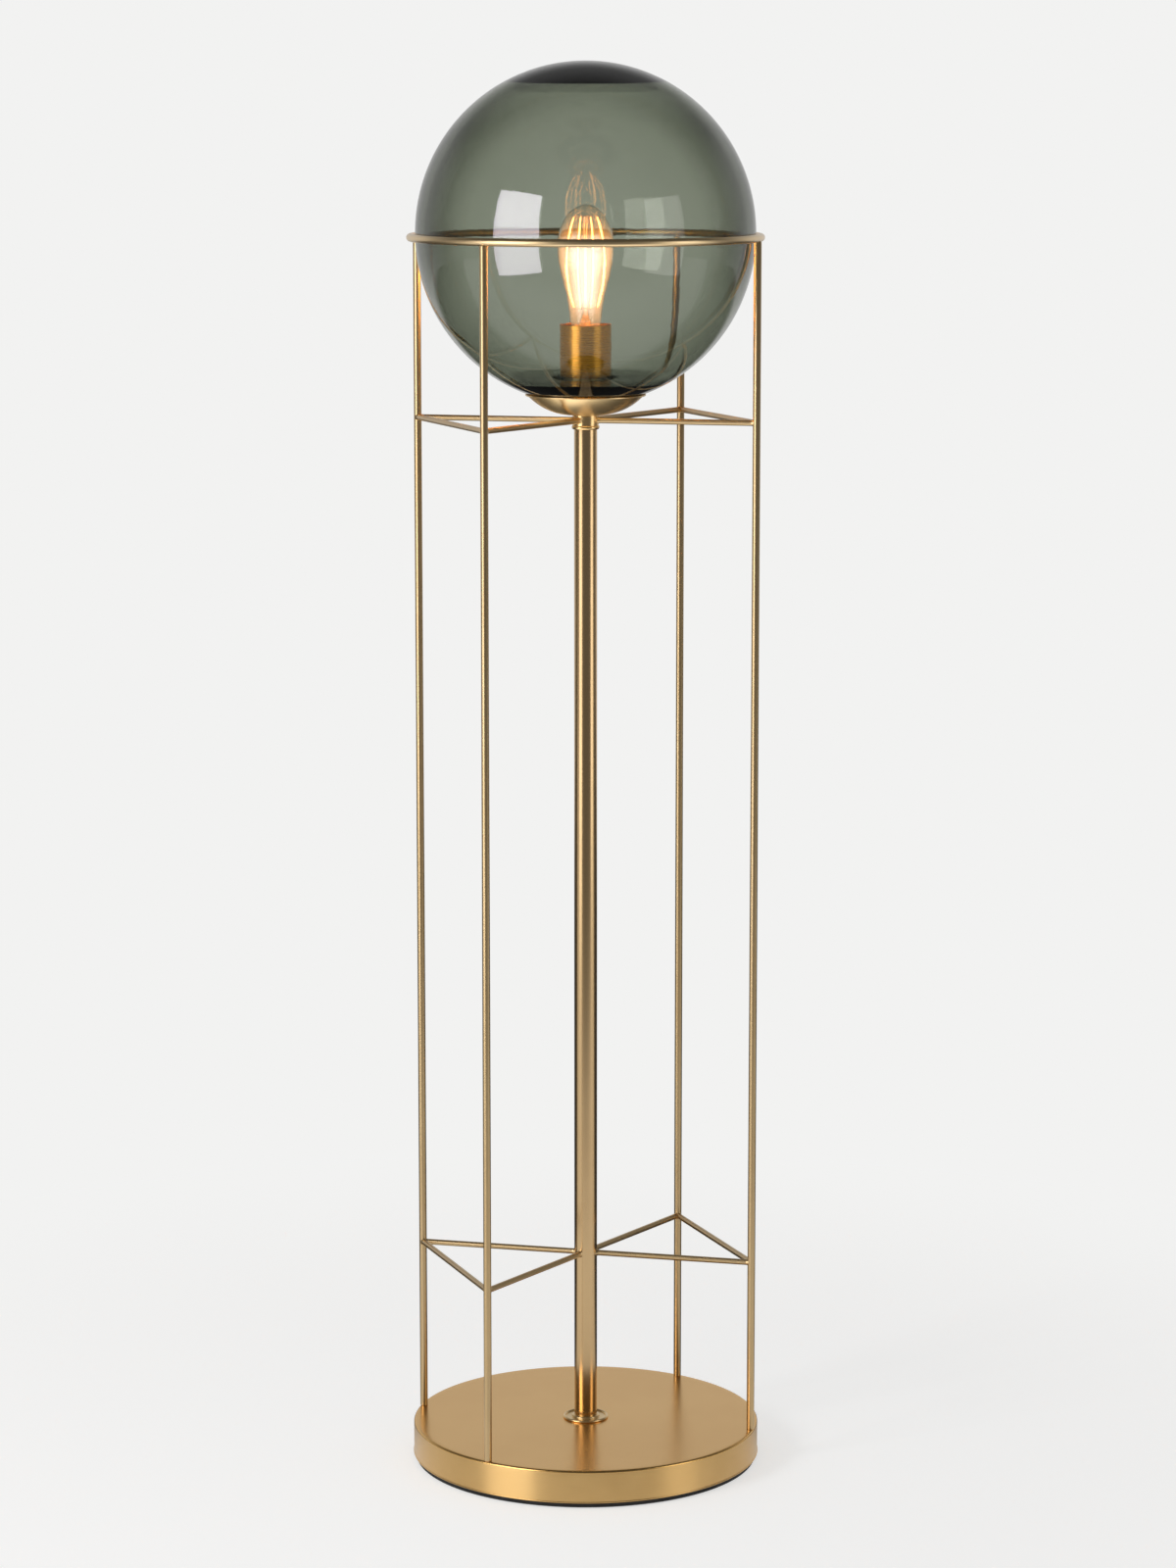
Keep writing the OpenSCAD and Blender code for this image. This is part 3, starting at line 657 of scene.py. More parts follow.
@dataclass(frozen=True)
class PlainFinish:
    """Moulded, cast, plated or glazed: patches, specks and a fine skin over one colour."""

    name: str
    light: Rgb
    deep: Rgb
    roughness: float
    metallic: float = 0.0
    patch_scale: float = 30.0
    speck_scale: float = 500.0
    speck_share: float = 0.15
    speck_tone: float = 0.35
    speck_depth: float = -0.6
    bump: float = 0.25
    bump_depth: float = 0.0003
    coat: float = 0.0
    coat_roughness: float = 0.15

    def make(self, effects: Effects) -> bpy.types.Material:
        """Build the material.

        Args:
            effects: the shared shader groups.

        Returns:
            The material.
        """
        material, sheet, out = new_material(self.name)
        patches = sheet.group(effects.clouds, Scale=self.patch_scale, Low=0.34, High=0.66)
        specks = sheet.group(effects.specks, Scale=self.speck_scale, Share=self.speck_share, Size=0.35)
        tone = sheet.mix(patches, colour(self.light), colour(self.deep))
        tone = sheet.mix(sheet.times(specks, self.speck_tone), tone, colour(self.light, 1.5, 0.01))
        rough = sheet.ramp(patches, 0.0, 1.0, self.roughness - 0.05, self.roughness + 0.06)
        height = sheet.maths("ADD", patches, sheet.times(specks, self.speck_depth))
        shader = sheet.add("ShaderNodeBsdfPrincipled", {
            "Base Color": tone, "Metallic": self.metallic, "Roughness": rough, "Coat Weight": self.coat,
            "Coat Roughness": self.coat_roughness,
            "Normal": sheet.bump(self.bump, self.bump_depth, height),
        })
        sheet.feed(out, {"Surface": shader.outputs[0]})
        return material


@dataclass(frozen=True)
class PaintedLimbShade:
    """Painted shade: a dark colour mixed into a glass ball's face where it turns away from the eye.

    It is full round the middle, fades upwards by top and downwards by lower, and comes back at
    the foot; these ramps go over the height in metres, and turn over how far the face turns.
    """

    # colour of the painted shade at the ball's edge
    tint: Rgb
    top: Ramp
    lower: Ramp
    foot: Ramp
    turn: Ramp = (0.3, 0.8, 0.0, 1.0)

    def over(self, sheet: Sheet, tone: bpy.types.NodeSocket) -> bpy.types.NodeSocket:
        """Lay the painted shade over a tone.

        Args:
            sheet: the glass's sheet.
            tone: colour of the glass's face.

        Returns:
            The tone with the painted shade at the ball's edge.
        """
        turned, up = sheet.facing(), sheet.along(2)
        band = sheet.times(sheet.ramp(up, *self.top, smooth=True), sheet.ramp(up, *self.lower, smooth=True))
        band = sheet.most(band, sheet.ramp(up, *self.foot, smooth=True))
        return sheet.mix(sheet.times(sheet.ramp(turned, *self.turn), band), tone, colour(self.tint))


@dataclass(frozen=True)
class PaintedGlow:
    """Painted glow on a clear envelope, standing for the filaments' light seen through it: pale at its core
    and orange round it.

    The glow is dark at the ends of its span of height, in metres, and full from a third of the way in.
    core_height gives how far from the span's middle the core ends and where it is full, as shares of the
    span's length.
    """

    core: Rgb
    edge: Rgb
    strength: float
    span: Span
    core_height: Span = (0.36, 0.16)
    core_turn: Ramp = (0.03, 0.25, 1.0, 0.0)
    edge_turn: Ramp = (0.35, 0.85, 1.0, 0.0)

    def colours(self, sheet: Sheet) -> bpy.types.NodeSocket:
        """The colour of the painted glow at each place.

        Args:
            sheet: the glass's sheet.

        Returns:
            The colour, black where there is no painted glow.
        """
        height = self.span[1] - self.span[0]
        off, turned = sheet.off_middle(self.span), sheet.facing()
        end, full = (height * share for share in self.core_height)
        core = sheet.times(sheet.ramp(turned, *self.core_turn),
                           sheet.ramp(off, end, full, 0.0, 1.0, smooth=True))
        rise = sheet.times(sheet.ramp(off, height / 2, height / 6, 0.0, 1.0, smooth=True),
                           sheet.ramp(turned, *self.edge_turn, smooth=True))
        return sheet.mix(rise, colour(BLACK), sheet.mix(core, colour(self.edge), colour(self.core)))


@dataclass(frozen=True)
class GlassFinish:
    """Blown glass: faint waves and seeds in the face, an optional tint in its depth, an optional painted
    shade where its face turns away from the eye, and an optional painted glow.
    """

    name: str
    face: Rgb
    shade: Rgb
    ior: float = 1.5
    wave_scale: float = 10.0
    wave_depth: float = 0.00008
    wave_tone: float = 0.5
    seed_height: float = 0.35
    shadow: Rgb = (0.97, 0.97, 0.97)
    absorb: Rgb | None = None
    density: float = 0.0
    painted_limb_shade: PaintedLimbShade | None = None
    painted_glow: PaintedGlow | None = None

    def make(self, effects: Effects) -> bpy.types.Material:
        """Build the material; rays from lamps pass straight through it, tinted by its depth.

        Args:
            effects: the shared shader groups.

        Returns:
            The material.
        """
        material, sheet, out = new_material(self.name)
        waves = sheet.group(effects.clouds, Scale=self.wave_scale, Low=0.2, High=0.8)
        seeds = sheet.group(effects.specks, Scale=38.0, Share=0.06, Size=0.05)
        tone = sheet.mix(sheet.maths("ADD", sheet.times(waves, self.wave_tone), seeds),
                         colour(self.face), colour(self.shade))
        # painted shade: the glass's colour darkens where its face turns away from the eye, banded by height
        if self.painted_limb_shade:
            tone = self.painted_limb_shade.over(sheet, tone)
        height = sheet.maths("ADD", waves, sheet.times(seeds, self.seed_height))
        inputs = {"Base Color": tone, "Roughness": 0.0, "IOR": self.ior, "Transmission Weight": 1.0,
                  "Normal": sheet.bump(1.0, self.wave_depth, height)}
        # painted glow: emission on the glass, strongest where it faces the eye; rays after a mirror bounce
        # see the glass without it
        glow = {}
        if self.painted_glow:
            glow = {"Emission Color": self.painted_glow.colours(sheet), "Emission Strength": self.painted_glow.strength}
        shader = sheet.add("ShaderNodeBsdfPrincipled", inputs | glow)
        if self.painted_glow:
            bare = sheet.add("ShaderNodeBsdfPrincipled", inputs)
            shader = sheet.blended(sheet.maths("GREATER_THAN", sheet.ray("Glossy Depth"), 0.5), shader, bare)
        clear = sheet.add("ShaderNodeBsdfTransparent", {"Color": colour(self.shadow)})
        sheet.feed(out, {"Surface": sheet.blended(sheet.ray("Is Shadow Ray"), shader, clear).outputs[0]})
        if self.absorb:
            through = {"Color": colour(self.absorb), "Density": self.density}
            sheet.feed(out, {"Volume": sheet.add("ShaderNodeVolumeAbsorption", through).outputs[0]})
        return material


@dataclass(frozen=True)
class GlowFinish:
    """A glowing wire: hot in the middle of its height and cooler towards its ends."""

    name: str
    hot: Rgb
    cool: Rgb
    strength: float
    span: Span
    metal_light: Rgb = (0.7, 0.45, 0.2)
    metal_deep: Rgb = (0.5, 0.3, 0.12)
    roughness: float = 0.6

    def make(self, effects: Effects) -> bpy.types.Material:
        """Build the material.

        Args:
            effects: the shared shader groups.

        Returns:
            The material.
        """
        material, sheet, out = new_material(self.name)
        reach = (self.span[1] - self.span[0]) / 2
        middle = sheet.ramp(sheet.off_middle(self.span), reach, 0.0, 0.0, 1.0, smooth=True)
        flicker = sheet.group(effects.clouds, Scale=60.0, Low=0.3, High=0.7)
        heat = sheet.times(middle, sheet.ramp(flicker, 0.0, 1.0, 0.8, 1.0))
        shader = sheet.add("ShaderNodeBsdfPrincipled", {
            "Base Color": sheet.mix(flicker, colour(self.metal_deep), colour(self.metal_light)),
            "Roughness": self.roughness, "Emission Strength": self.strength,
            "Emission Color": sheet.mix(heat, colour(self.cool), colour(self.hot)),
        })
        sheet.feed(out, {"Surface": shader.outputs[0]})
        return material


FINISHES = {
    "base_brass": BrassFinish(
        "base_brass_satin", (0.90, 0.55, 0.19), (0.87, 0.52, 0.175), 0.25, Lay.ROUND,
        bump=0.004, contrast=0.02, spread=0.015, lacquer=0.0, rubbed=0.05),
    "side_brass": BrassFinish(
        "side_brass_brushed", (0.90, 0.58, 0.23), (0.86, 0.54, 0.20), 0.36, Lay.ROUND,
        bump=0.03, contrast=0.06, lacquer=0.3, rubbed=0.1, anisotropy=0.9),
    "turned_brass": BrassFinish(
        "turned_brass_satin", (0.88, 0.60, 0.27), (0.80, 0.52, 0.21), 0.27, Lay.ROUND,
        across=2600.0, along=25.0, bump=0.05, contrast=0.1),
    # partly painted light: a spun finish with its own roughness and grain, in a colour painted lighter than
    # the turned brass
    "spun_brass_painted_lighter": BrassFinish(
        "spun_turned_brass_painted_lighter", (0.95, 0.70, 0.36), (0.88, 0.62, 0.29), 0.34, Lay.ROUND,
        across=2000.0, along=14.0, bump=0.04, contrast=0.07, lacquer=0.2, anisotropy=0.3),
    "column_brass": BrassFinish(
        "column_brass_drawn", (0.77, 0.53, 0.27), (0.70, 0.47, 0.23), 0.22, Lay.LENGTHWISE,
        across=2600.0, along=1.0, bump=0.002, contrast=0.03, spread=0.02, rubbed=0.05),
    "cage_brass": BrassFinish(
        "cage_brass_drawn", (0.72, 0.52, 0.27), (0.64, 0.44, 0.21), 0.34, Lay.LENGTHWISE,
        across=3000.0, along=8.0, bump=0.006, contrast=0.04, spread=0.02, rubbed=0.08),
    # painted light: the cage's drawn brass made lighter for the hoop, standing in for light it does not get
    "hoop_drawn_brass_painted_lighter": BrassFinish(
        "hoop_rod_brass_painted_lighter", (0.93, 0.70, 0.40), (0.86, 0.62, 0.33), 0.34, Lay.LENGTHWISE,
        across=3000.0, along=8.0, bump=0.006, contrast=0.04, spread=0.02, rubbed=0.08),
    "sleeve_brass": BrassFinish(
        "sleeve_brass_brushed", (0.86, 0.40, 0.07), (0.75, 0.32, 0.05), 0.26, Lay.ROUND,
        across=1700.0, along=14.0, bump=0.12, contrast=0.3, lacquer=0.15),
    "contact_brass": BrassFinish(
        "contact_brass_stamped", (0.66, 0.52, 0.26), (0.52, 0.38, 0.18), 0.32, Lay.OBJECT,
        across=900.0, along=900.0),
    "cap_brass": BrassFinish(
        "cap_brass_rolled", (0.70, 0.56, 0.32), (0.55, 0.41, 0.21), 0.28, Lay.ROUND,
        across=1500.0, along=60.0),
    "plain_steel": PlainFinish(
        "plain_steel_plated", (0.58, 0.58, 0.56), (0.44, 0.44, 0.45), 0.36,
        metallic=1.0, patch_scale=60.0, speck_scale=700.0),
    "ballast_iron": PlainFinish(
        "ballast_iron_cast", (0.075, 0.075, 0.08), (0.045, 0.045, 0.05), 0.6,
        metallic=0.6, patch_scale=25.0, speck_scale=300.0, bump=0.5, bump_depth=0.0006),
    "foot_rubber": PlainFinish(
        "foot_rubber_matte", (0.018, 0.018, 0.018), (0.009, 0.009, 0.009), 0.72,
        patch_scale=45.0, speck_scale=900.0),
    "dark_plastic": PlainFinish(
        "dark_plastic_moulded", (0.028, 0.022, 0.018), (0.014, 0.011, 0.009), 0.42,
        patch_scale=50.0, speck_scale=800.0),
    "pale_plastic": PlainFinish(
        "pale_plastic_moulded", (0.76, 0.72, 0.62), (0.66, 0.61, 0.50), 0.4, patch_scale=70.0),
    "contact_ceramic": PlainFinish(
        "contact_ceramic_glazed", (0.82, 0.79, 0.72), (0.72, 0.68, 0.60), 0.3,
        patch_scale=80.0, speck_share=0.08, coat=0.6),
    "brown_lead": PlainFinish("brown_lead_sleeved", (0.17, 0.065, 0.025), (0.12, 0.04, 0.015), 0.45),
    "blue_lead": PlainFinish("blue_lead_sleeved", (0.03, 0.09, 0.32), (0.02, 0.06, 0.22), 0.45),
    "green_lead": PlainFinish("green_lead_sleeved", (0.11, 0.32, 0.045), (0.42, 0.42, 0.03), 0.45),
    "smoked_glass": GlassFinish(
        "smoked_glass_thick", (0.98, 0.99, 0.98), (0.92, 0.94, 0.92),
        absorb=(0.305, 0.350, 0.225), density=100.0,
        # the dark edge colour below is painted shade
        painted_limb_shade=PaintedLimbShade((0.06, 0.065, 0.052), top=(1.4, 1.46, 1.0, 0.0), lower=(1.21, 1.29, 0.3, 1.0),
                  foot=(1.151, 1.158, 1.0, 0.0))),
    # the bulb's glass and stem carry a painted glow
    "bulb_clear_glass": GlassFinish(
        "bulb_clear_thin", (1.0, 0.97, 0.92), (0.98, 0.94, 0.87), ior=1.45,
        wave_scale=25.0, wave_depth=0.00004,
        painted_glow=PaintedGlow((1.0, 0.86, 0.84), (1.0, 0.38, 0.10), 0.5, span=(1.190, 1.322))),
    "glowing_filament": GlowFinish(
        "filament_lit", (1.0, 0.46, 0.16), (1.0, 0.34, 0.09), 230.0, span=(1.2245, 1.3165)),
}


class Finishes:
    """Gives each material slot its finish, built on first use."""

    def __init__(self) -> None:
        """Build the shared groups."""
        self.effects = Effects()
        self.built: dict[str, bpy.types.Material] = {}

    def of(self, slot: str) -> bpy.types.Material:
        """Give the material of a slot, or of a finish of its own within one.

        Args:
            slot: name of the slot or finish.

        Returns:
            The material.
        """
        if slot not in self.built:
            self.built[slot] = FINISHES[slot].make(self.effects)
        return self.built[slot]

    def dress(self, *nodes: str) -> None:
        """Give CAD nodes that stay in view the finish of their own slot.

        Args:
            nodes: names of the nodes.
        """
        slots = {part["node"]: part["material_slot"] for part in frame["record"]["subparts"]}
        for name in nodes:
            mesh = frame["nodes"][name].data
            mesh.materials.clear()
            mesh.materials.append(self.of(slots[name]))
            LOG.info("%s keeps its solid, in %s", name, slots[name])


@dataclass
class SubAssembly:
    """A sub-assembly that lays its pieces over the CAD nodes that they stand for."""

    finishes: Finishes
    body: str = "stand"

    def lay(self, name: str, skin: Skin, slot: str, nodes: tuple[str, ...], sharp: float = 40.0,
            finish: str = "") -> bpy.types.Object:
        """Put a skin into the scene as a piece.

        Args:
            name: name of the piece.
            skin: its faces.
            slot: material slot that it takes its finish from.
            nodes: CAD nodes that it stands for.
            sharp: angle in degrees above which an edge stays sharp.
            finish: its own finish within the slot, if it has one.

        Returns:
            The piece.
        """
        mesh = skin.mesh(name)
        uv = np.concatenate([skin.quad_uv.reshape(-1, 2), skin.tri_uv.reshape(-1, 2)])
        mesh.uv_layers.new(name=SKIN_UV).data.foreach_set("uv", uv.astype(np.float32).ravel())
        mesh.polygons.foreach_set("use_smooth", np.ones(len(mesh.polygons), bool))
        mesh.set_sharp_from_angle(angle=math.radians(sharp))
        mesh.update()
        piece = linked(name, mesh)
        mesh.materials.append(self.finishes.of(finish or slot))
        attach(piece, self.body)
        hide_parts(*nodes)
        LOG.info("%s: %d faces, for %s", name, len(mesh.polygons), ", ".join(nodes))
        return piece


@dataclass
class Base(SubAssembly):
    """The round foot: brass cover with a rolled hem, foot ring and cord grommet."""

    cover_r: float = 184.0
    inner_r: float = 183.0
    foot_z: float = 5.0
    top_z: float = BASE_TOP
    wall: float = 1.0
    top_round: float = 2.4
    hem_r: float = 0.7
    hem_x: float = 183.9
    hem_gap: float = 0.05
    hole_r: float = 5.2
    outlet_az: float = 111.0
    outlet_z: float = 16.5
    outlet_r: float = 4.5
    drilled: Span = (176.0, 190.0)
    grommet_faces: tuple[float, float, float, float] = (180.78, 182.78, 184.1, 186.1)
    grommet_bore: float = 3.5
    grommet_waist: float = 4.4
    grommet_flange: float = 6.5
    bead: tuple[float, float, float] = (22.6, 1.2, 1.4)
    ring_r: Span = (12.05, 14.55)
    ring_h: float = 3.4

    def build(self) -> None:
        """Make the cover, the grommet and the foot ring, and dress what lies inside."""
        self._cover()
        self._grommet()
        self._foot_ring()
        self.finishes.dress("foot_pad", "bottom_plate", "plate_screws", "plate_spacers", "ballast",
                            "terminal_block", "terminal_screw", "lower_nipple", "lower_washer",
                            "lower_nut", "cage_screws")

    def _cover(self) -> None:
        """Turn the sheet's section: hem, side, rounded edge, top, and back along the inside."""
        hem_z = self.foot_z + self.hem_r + self.hem_gap
        meet = math.degrees(math.acos((self.cover_r - self.hem_x) / self.hem_r))
        hem = arc((self.hem_x, hem_z), self.hem_r, -90, meet, 10)
        under = self.top_z - self.wall
        side = rounded([
            (self.cover_r, hem[-1, 1], 0), (self.cover_r, self.top_z, self.top_round),
            (self.hole_r, self.top_z, 0), (self.hole_r, under, 0),
            (self.inner_r, under, self.top_round - self.wall), (self.inner_r, self.foot_z, 0),
        ], steps=10, pitch=5.0, loop=False)
        section = np.concatenate([hem[:-1] * MM, side])
        cover = self.lay("brass_cover", revolve(section, 360), "base_brass", ("base_cover",))
        self._drill(cover)
        self._brush_side(cover)

    def _outward(self, skin: Skin) -> Skin:
        """Lay a skin that was turned round Z along the cord outlet's axis."""
        return skin.laid_along(np.array([0, 0, self.outlet_z * MM]), polar(1000.0, self.outlet_az, 0.0))

    def _drill(self, cover: bpy.types.Object) -> None:
        """Cut the cord outlet through the cover's side.

        Args:
            cover: the cover's piece.
        """
        low, high = self.drilled
        corners = [(0, low, 0), (self.outlet_r, low, 0), (self.outlet_r, high, 0), (0, high, 0)]
        drill = self._outward(revolve(rounded(corners, 1, 20.0, False), 48, False)).mesh("outlet_drill")
        cutter = linked("outlet_drill", drill)
        cut = cover.modifiers.new("outlet", "BOOLEAN")
        cut.operation, cut.object, cut.solver = "DIFFERENCE", cutter, "EXACT"
        graph = bpy.context.evaluated_depsgraph_get()
        whole = cover.data
        cover.data = bpy.data.meshes.new_from_object(cover.evaluated_get(graph))
        cover.modifiers.clear()
        bpy.data.meshes.remove(whole)
        cover.data.name = cover.name
        bpy.data.objects.remove(cutter)
        bpy.data.meshes.remove(drill)

    def _brush_side(self, cover: bpy.types.Object) -> None:
        """Give the faces of the cover's outer side the brushed finish.

        Args:
            cover: the cover's piece.
        """
        centre = np.empty(len(cover.data.polygons) * 3)
        cover.data.polygons.foreach_get("center", centre)
        x, y, z = centre.reshape(-1, 3).T / MM
        outer = (np.hypot(x, y) > self.inner_r + 0.3) & (z < self.top_z - self.top_round)
        cover.data.materials.append(self.finishes.of("side_brass"))
        cover.data.polygons.foreach_set("material_index", outer.astype(np.int32))

    def _grommet(self) -> None:
        """Turn the grommet's spool section round the cord outlet's axis."""
        inside, groove, face, outside = self.grommet_faces
        bore, waist, flange = self.grommet_bore, self.grommet_waist, self.grommet_flange
        section = rounded([
            (bore, inside, 0.4), (flange, inside, 0.95), (flange, groove, 0.95), (waist, groove, 0.1),
            (waist, face, 0.1), (flange, face, 0.95), (flange, outside, 0.95), (bore, outside, 0.6),
        ], steps=6, pitch=1.0)
        self.lay("cord_eyelet", self._outward(revolve(section, 72)), "foot_rubber", ("cord_grommet",))

    def _foot_ring(self) -> None:
        """Turn the ring round the column's foot: bead, flat and a rounded shoulder."""
        z, (bead_x, bead_z, bead_r), (inner, outer) = self.top_z, self.bead, self.ring_r
        bead = arc((bead_x, z + bead_z), bead_r, -58.9, 186.5, 20)
        rest = rounded([
            (bead[-1, 0], z + 1.04, 0), (outer, z + 1.0, 0.6), (outer, z + self.ring_h, 1.25),
            (inner, z + self.ring_h, 0.2), (inner, z, 0),
        ], steps=8, pitch=1.5, loop=False)
        # the foot ring takes the lighter spun finish, whose colour is painted light
        self.lay("foot_rosette", revolve(np.concatenate([bead[:-1] * MM, rest]), 144), "turned_brass",
                 ("foot_ring",), finish="spun_brass_painted_lighter")


@dataclass
class Cage(SubAssembly):
    """The four rods, the ring on top of them and the two bow-ties of struts."""

    reach: float = 180.0
    rod_r: float = 4.0
    strut_r: float = 3.0
    foot_z: float = BASE_TOP
    ring_z: float = 1296.0
    ring_sunk: float = 2.0
    pair_az: float = 21.0
    half_angle: float = 34.6
    levels: tuple[tuple[str, float, float], ...] = (("lower", 222.0, COLUMN_R), ("upper", 1108.5, COLLAR_R))
    fillet: float = 0.8
    into_hub: float = 0.9
    into_rod: float = 2.2

    def build(self) -> None:
        """Make the rods, the ring and the struts."""
        azimuths = {
            "right": self.pair_az - self.half_angle, "back_right": self.pair_az + self.half_angle,
            "left": self.pair_az - self.half_angle + 180, "front_left": self.pair_az + self.half_angle + 180,
        }
        for side, azimuth in azimuths.items():
            self._rod(side, azimuth)
        self._ring()
        for level, z, hub in self.levels:
            for side, azimuth in azimuths.items():
                self._strut(f"{level}_strut_{side}", azimuth, z, hub)
            self._tie(f"{level}_tie_right", self.pair_az, z)
            self._tie(f"{level}_tie_left", self.pair_az + 180, z)

    def _rod(self, side: str, azimuth: float) -> None:
        """Make a rod from the cover to just inside the ring, with its foot edge broken.

        Args:
            side: which rod it is.
            azimuth: its direction from the axis, in degrees.
        """
        span = self.ring_z - self.ring_sunk - self.foot_z
        section = rounded([(0, 0, 0), (self.rod_r, 0, 0.35), (self.rod_r, span, 2.6), (0, span, 0)],
                          steps=8, pitch=LONG_STEP, loop=False)
        skin = revolve(section, 48, False).laid_along(polar(self.reach, azimuth, self.foot_z), UP)
        self.lay(f"cage_rod_{side}", skin, "cage_brass", (f"rod_{side}",))

    def _ring(self) -> None:
        """The hoop: a circle of the rod's radius turned round the lamp's axis."""
        section = arc((self.reach, self.ring_z), self.rod_r, 0, 360, 32)[:-1] * MM
        skin = revolve(section, 360)
        swapped = Skin(skin.points, skin.quads, skin.quad_uv[..., ::-1], skin.tris, skin.tri_uv)
        # the hoop takes a lighter copy of the cage's brass, painted light
        self.lay("cage_hoop", swapped, "cage_brass", ("top_ring",), finish="hoop_drawn_brass_painted_lighter")

    def _strut(self, name: str, azimuth: float, z: float, hub: float) -> None:
        """Make a bar from the hub to a rod, sunk a little into both so that its fillets close on them.

        Args:
            name: name of its node.
            azimuth: the rod's direction from the axis, in degrees.
            z: its height, in millimetres.
            hub: radius of the column or collar that it starts from, in millimetres.
        """
        skin = bar(polar(hub - self.into_hub, azimuth, z), polar(self.reach - self.into_rod, azimuth, z),
                   self.strut_r, self.fillet)
        self.lay(f"{name}_bar", skin, "cage_brass", (name,))

    def _tie(self, name: str, azimuth: float, z: float) -> None:
        """Make a bar between the two rods of a pair, its ends just inside the rods.

        Args:
            name: name of its node.
            azimuth: the direction between the two rods, in degrees.
            z: its height, in millimetres.
        """
        first = polar(self.reach, azimuth - self.half_angle, z)
        last = polar(self.reach, azimuth + self.half_angle, z)
        inset = (last - first) / np.linalg.norm(last - first) * self.into_rod * MM
        skin = bar(first + inset, last - inset, self.strut_r, self.fillet)
        self.lay(f"{name}_bar", skin, "cage_brass", (name,))


@dataclass
class Column(SubAssembly):
    """The upright tube with the collar at its top."""

    outer_r: float = COLUMN_R
    inner_r: float = 10.0
    foot_z: float = BASE_TOP
    top_z: float = COLUMN_TOP
    collar_r: float = COLLAR_R
    collar_bore: float = 12.05
    collar_h: float = 15.0
    lip_r: float = 14.5
    lip_h: float = 4.5

    def build(self) -> None:
        """Make the tube and the collar, and dress the bushes and leads inside."""
        section = rounded([
            (self.inner_r, self.foot_z, 0.2), (self.outer_r, self.foot_z, 0.4),
            (self.outer_r, self.top_z, 0.4), (self.inner_r, self.top_z, 0.2),
        ], steps=4, pitch=LONG_STEP)
        self.lay("column_tube", revolve(section, 128), "column_brass", ("column",))
        low, lip_round = self.top_z - self.collar_h, self.lip_h / 2
        lip = arc((self.lip_r - lip_round, low + lip_round), lip_round, -90, 56, 16)
        rest = rounded([
            (self.collar_r, lip[-1, 1], 0), (self.collar_r, self.top_z, 0.5),
            (self.collar_bore, self.top_z, 0.1), (self.collar_bore, low, 0),
        ], steps=5, pitch=2.0, loop=False)
        self.lay("column_collar", revolve(np.concatenate([lip[:-1] * MM, rest]), 128), "turned_brass",
                 ("upper_collar",))
        self.finishes.dress("bottom_bush", "top_bush", "lead_live", "lead_neutral", "lead_earth")


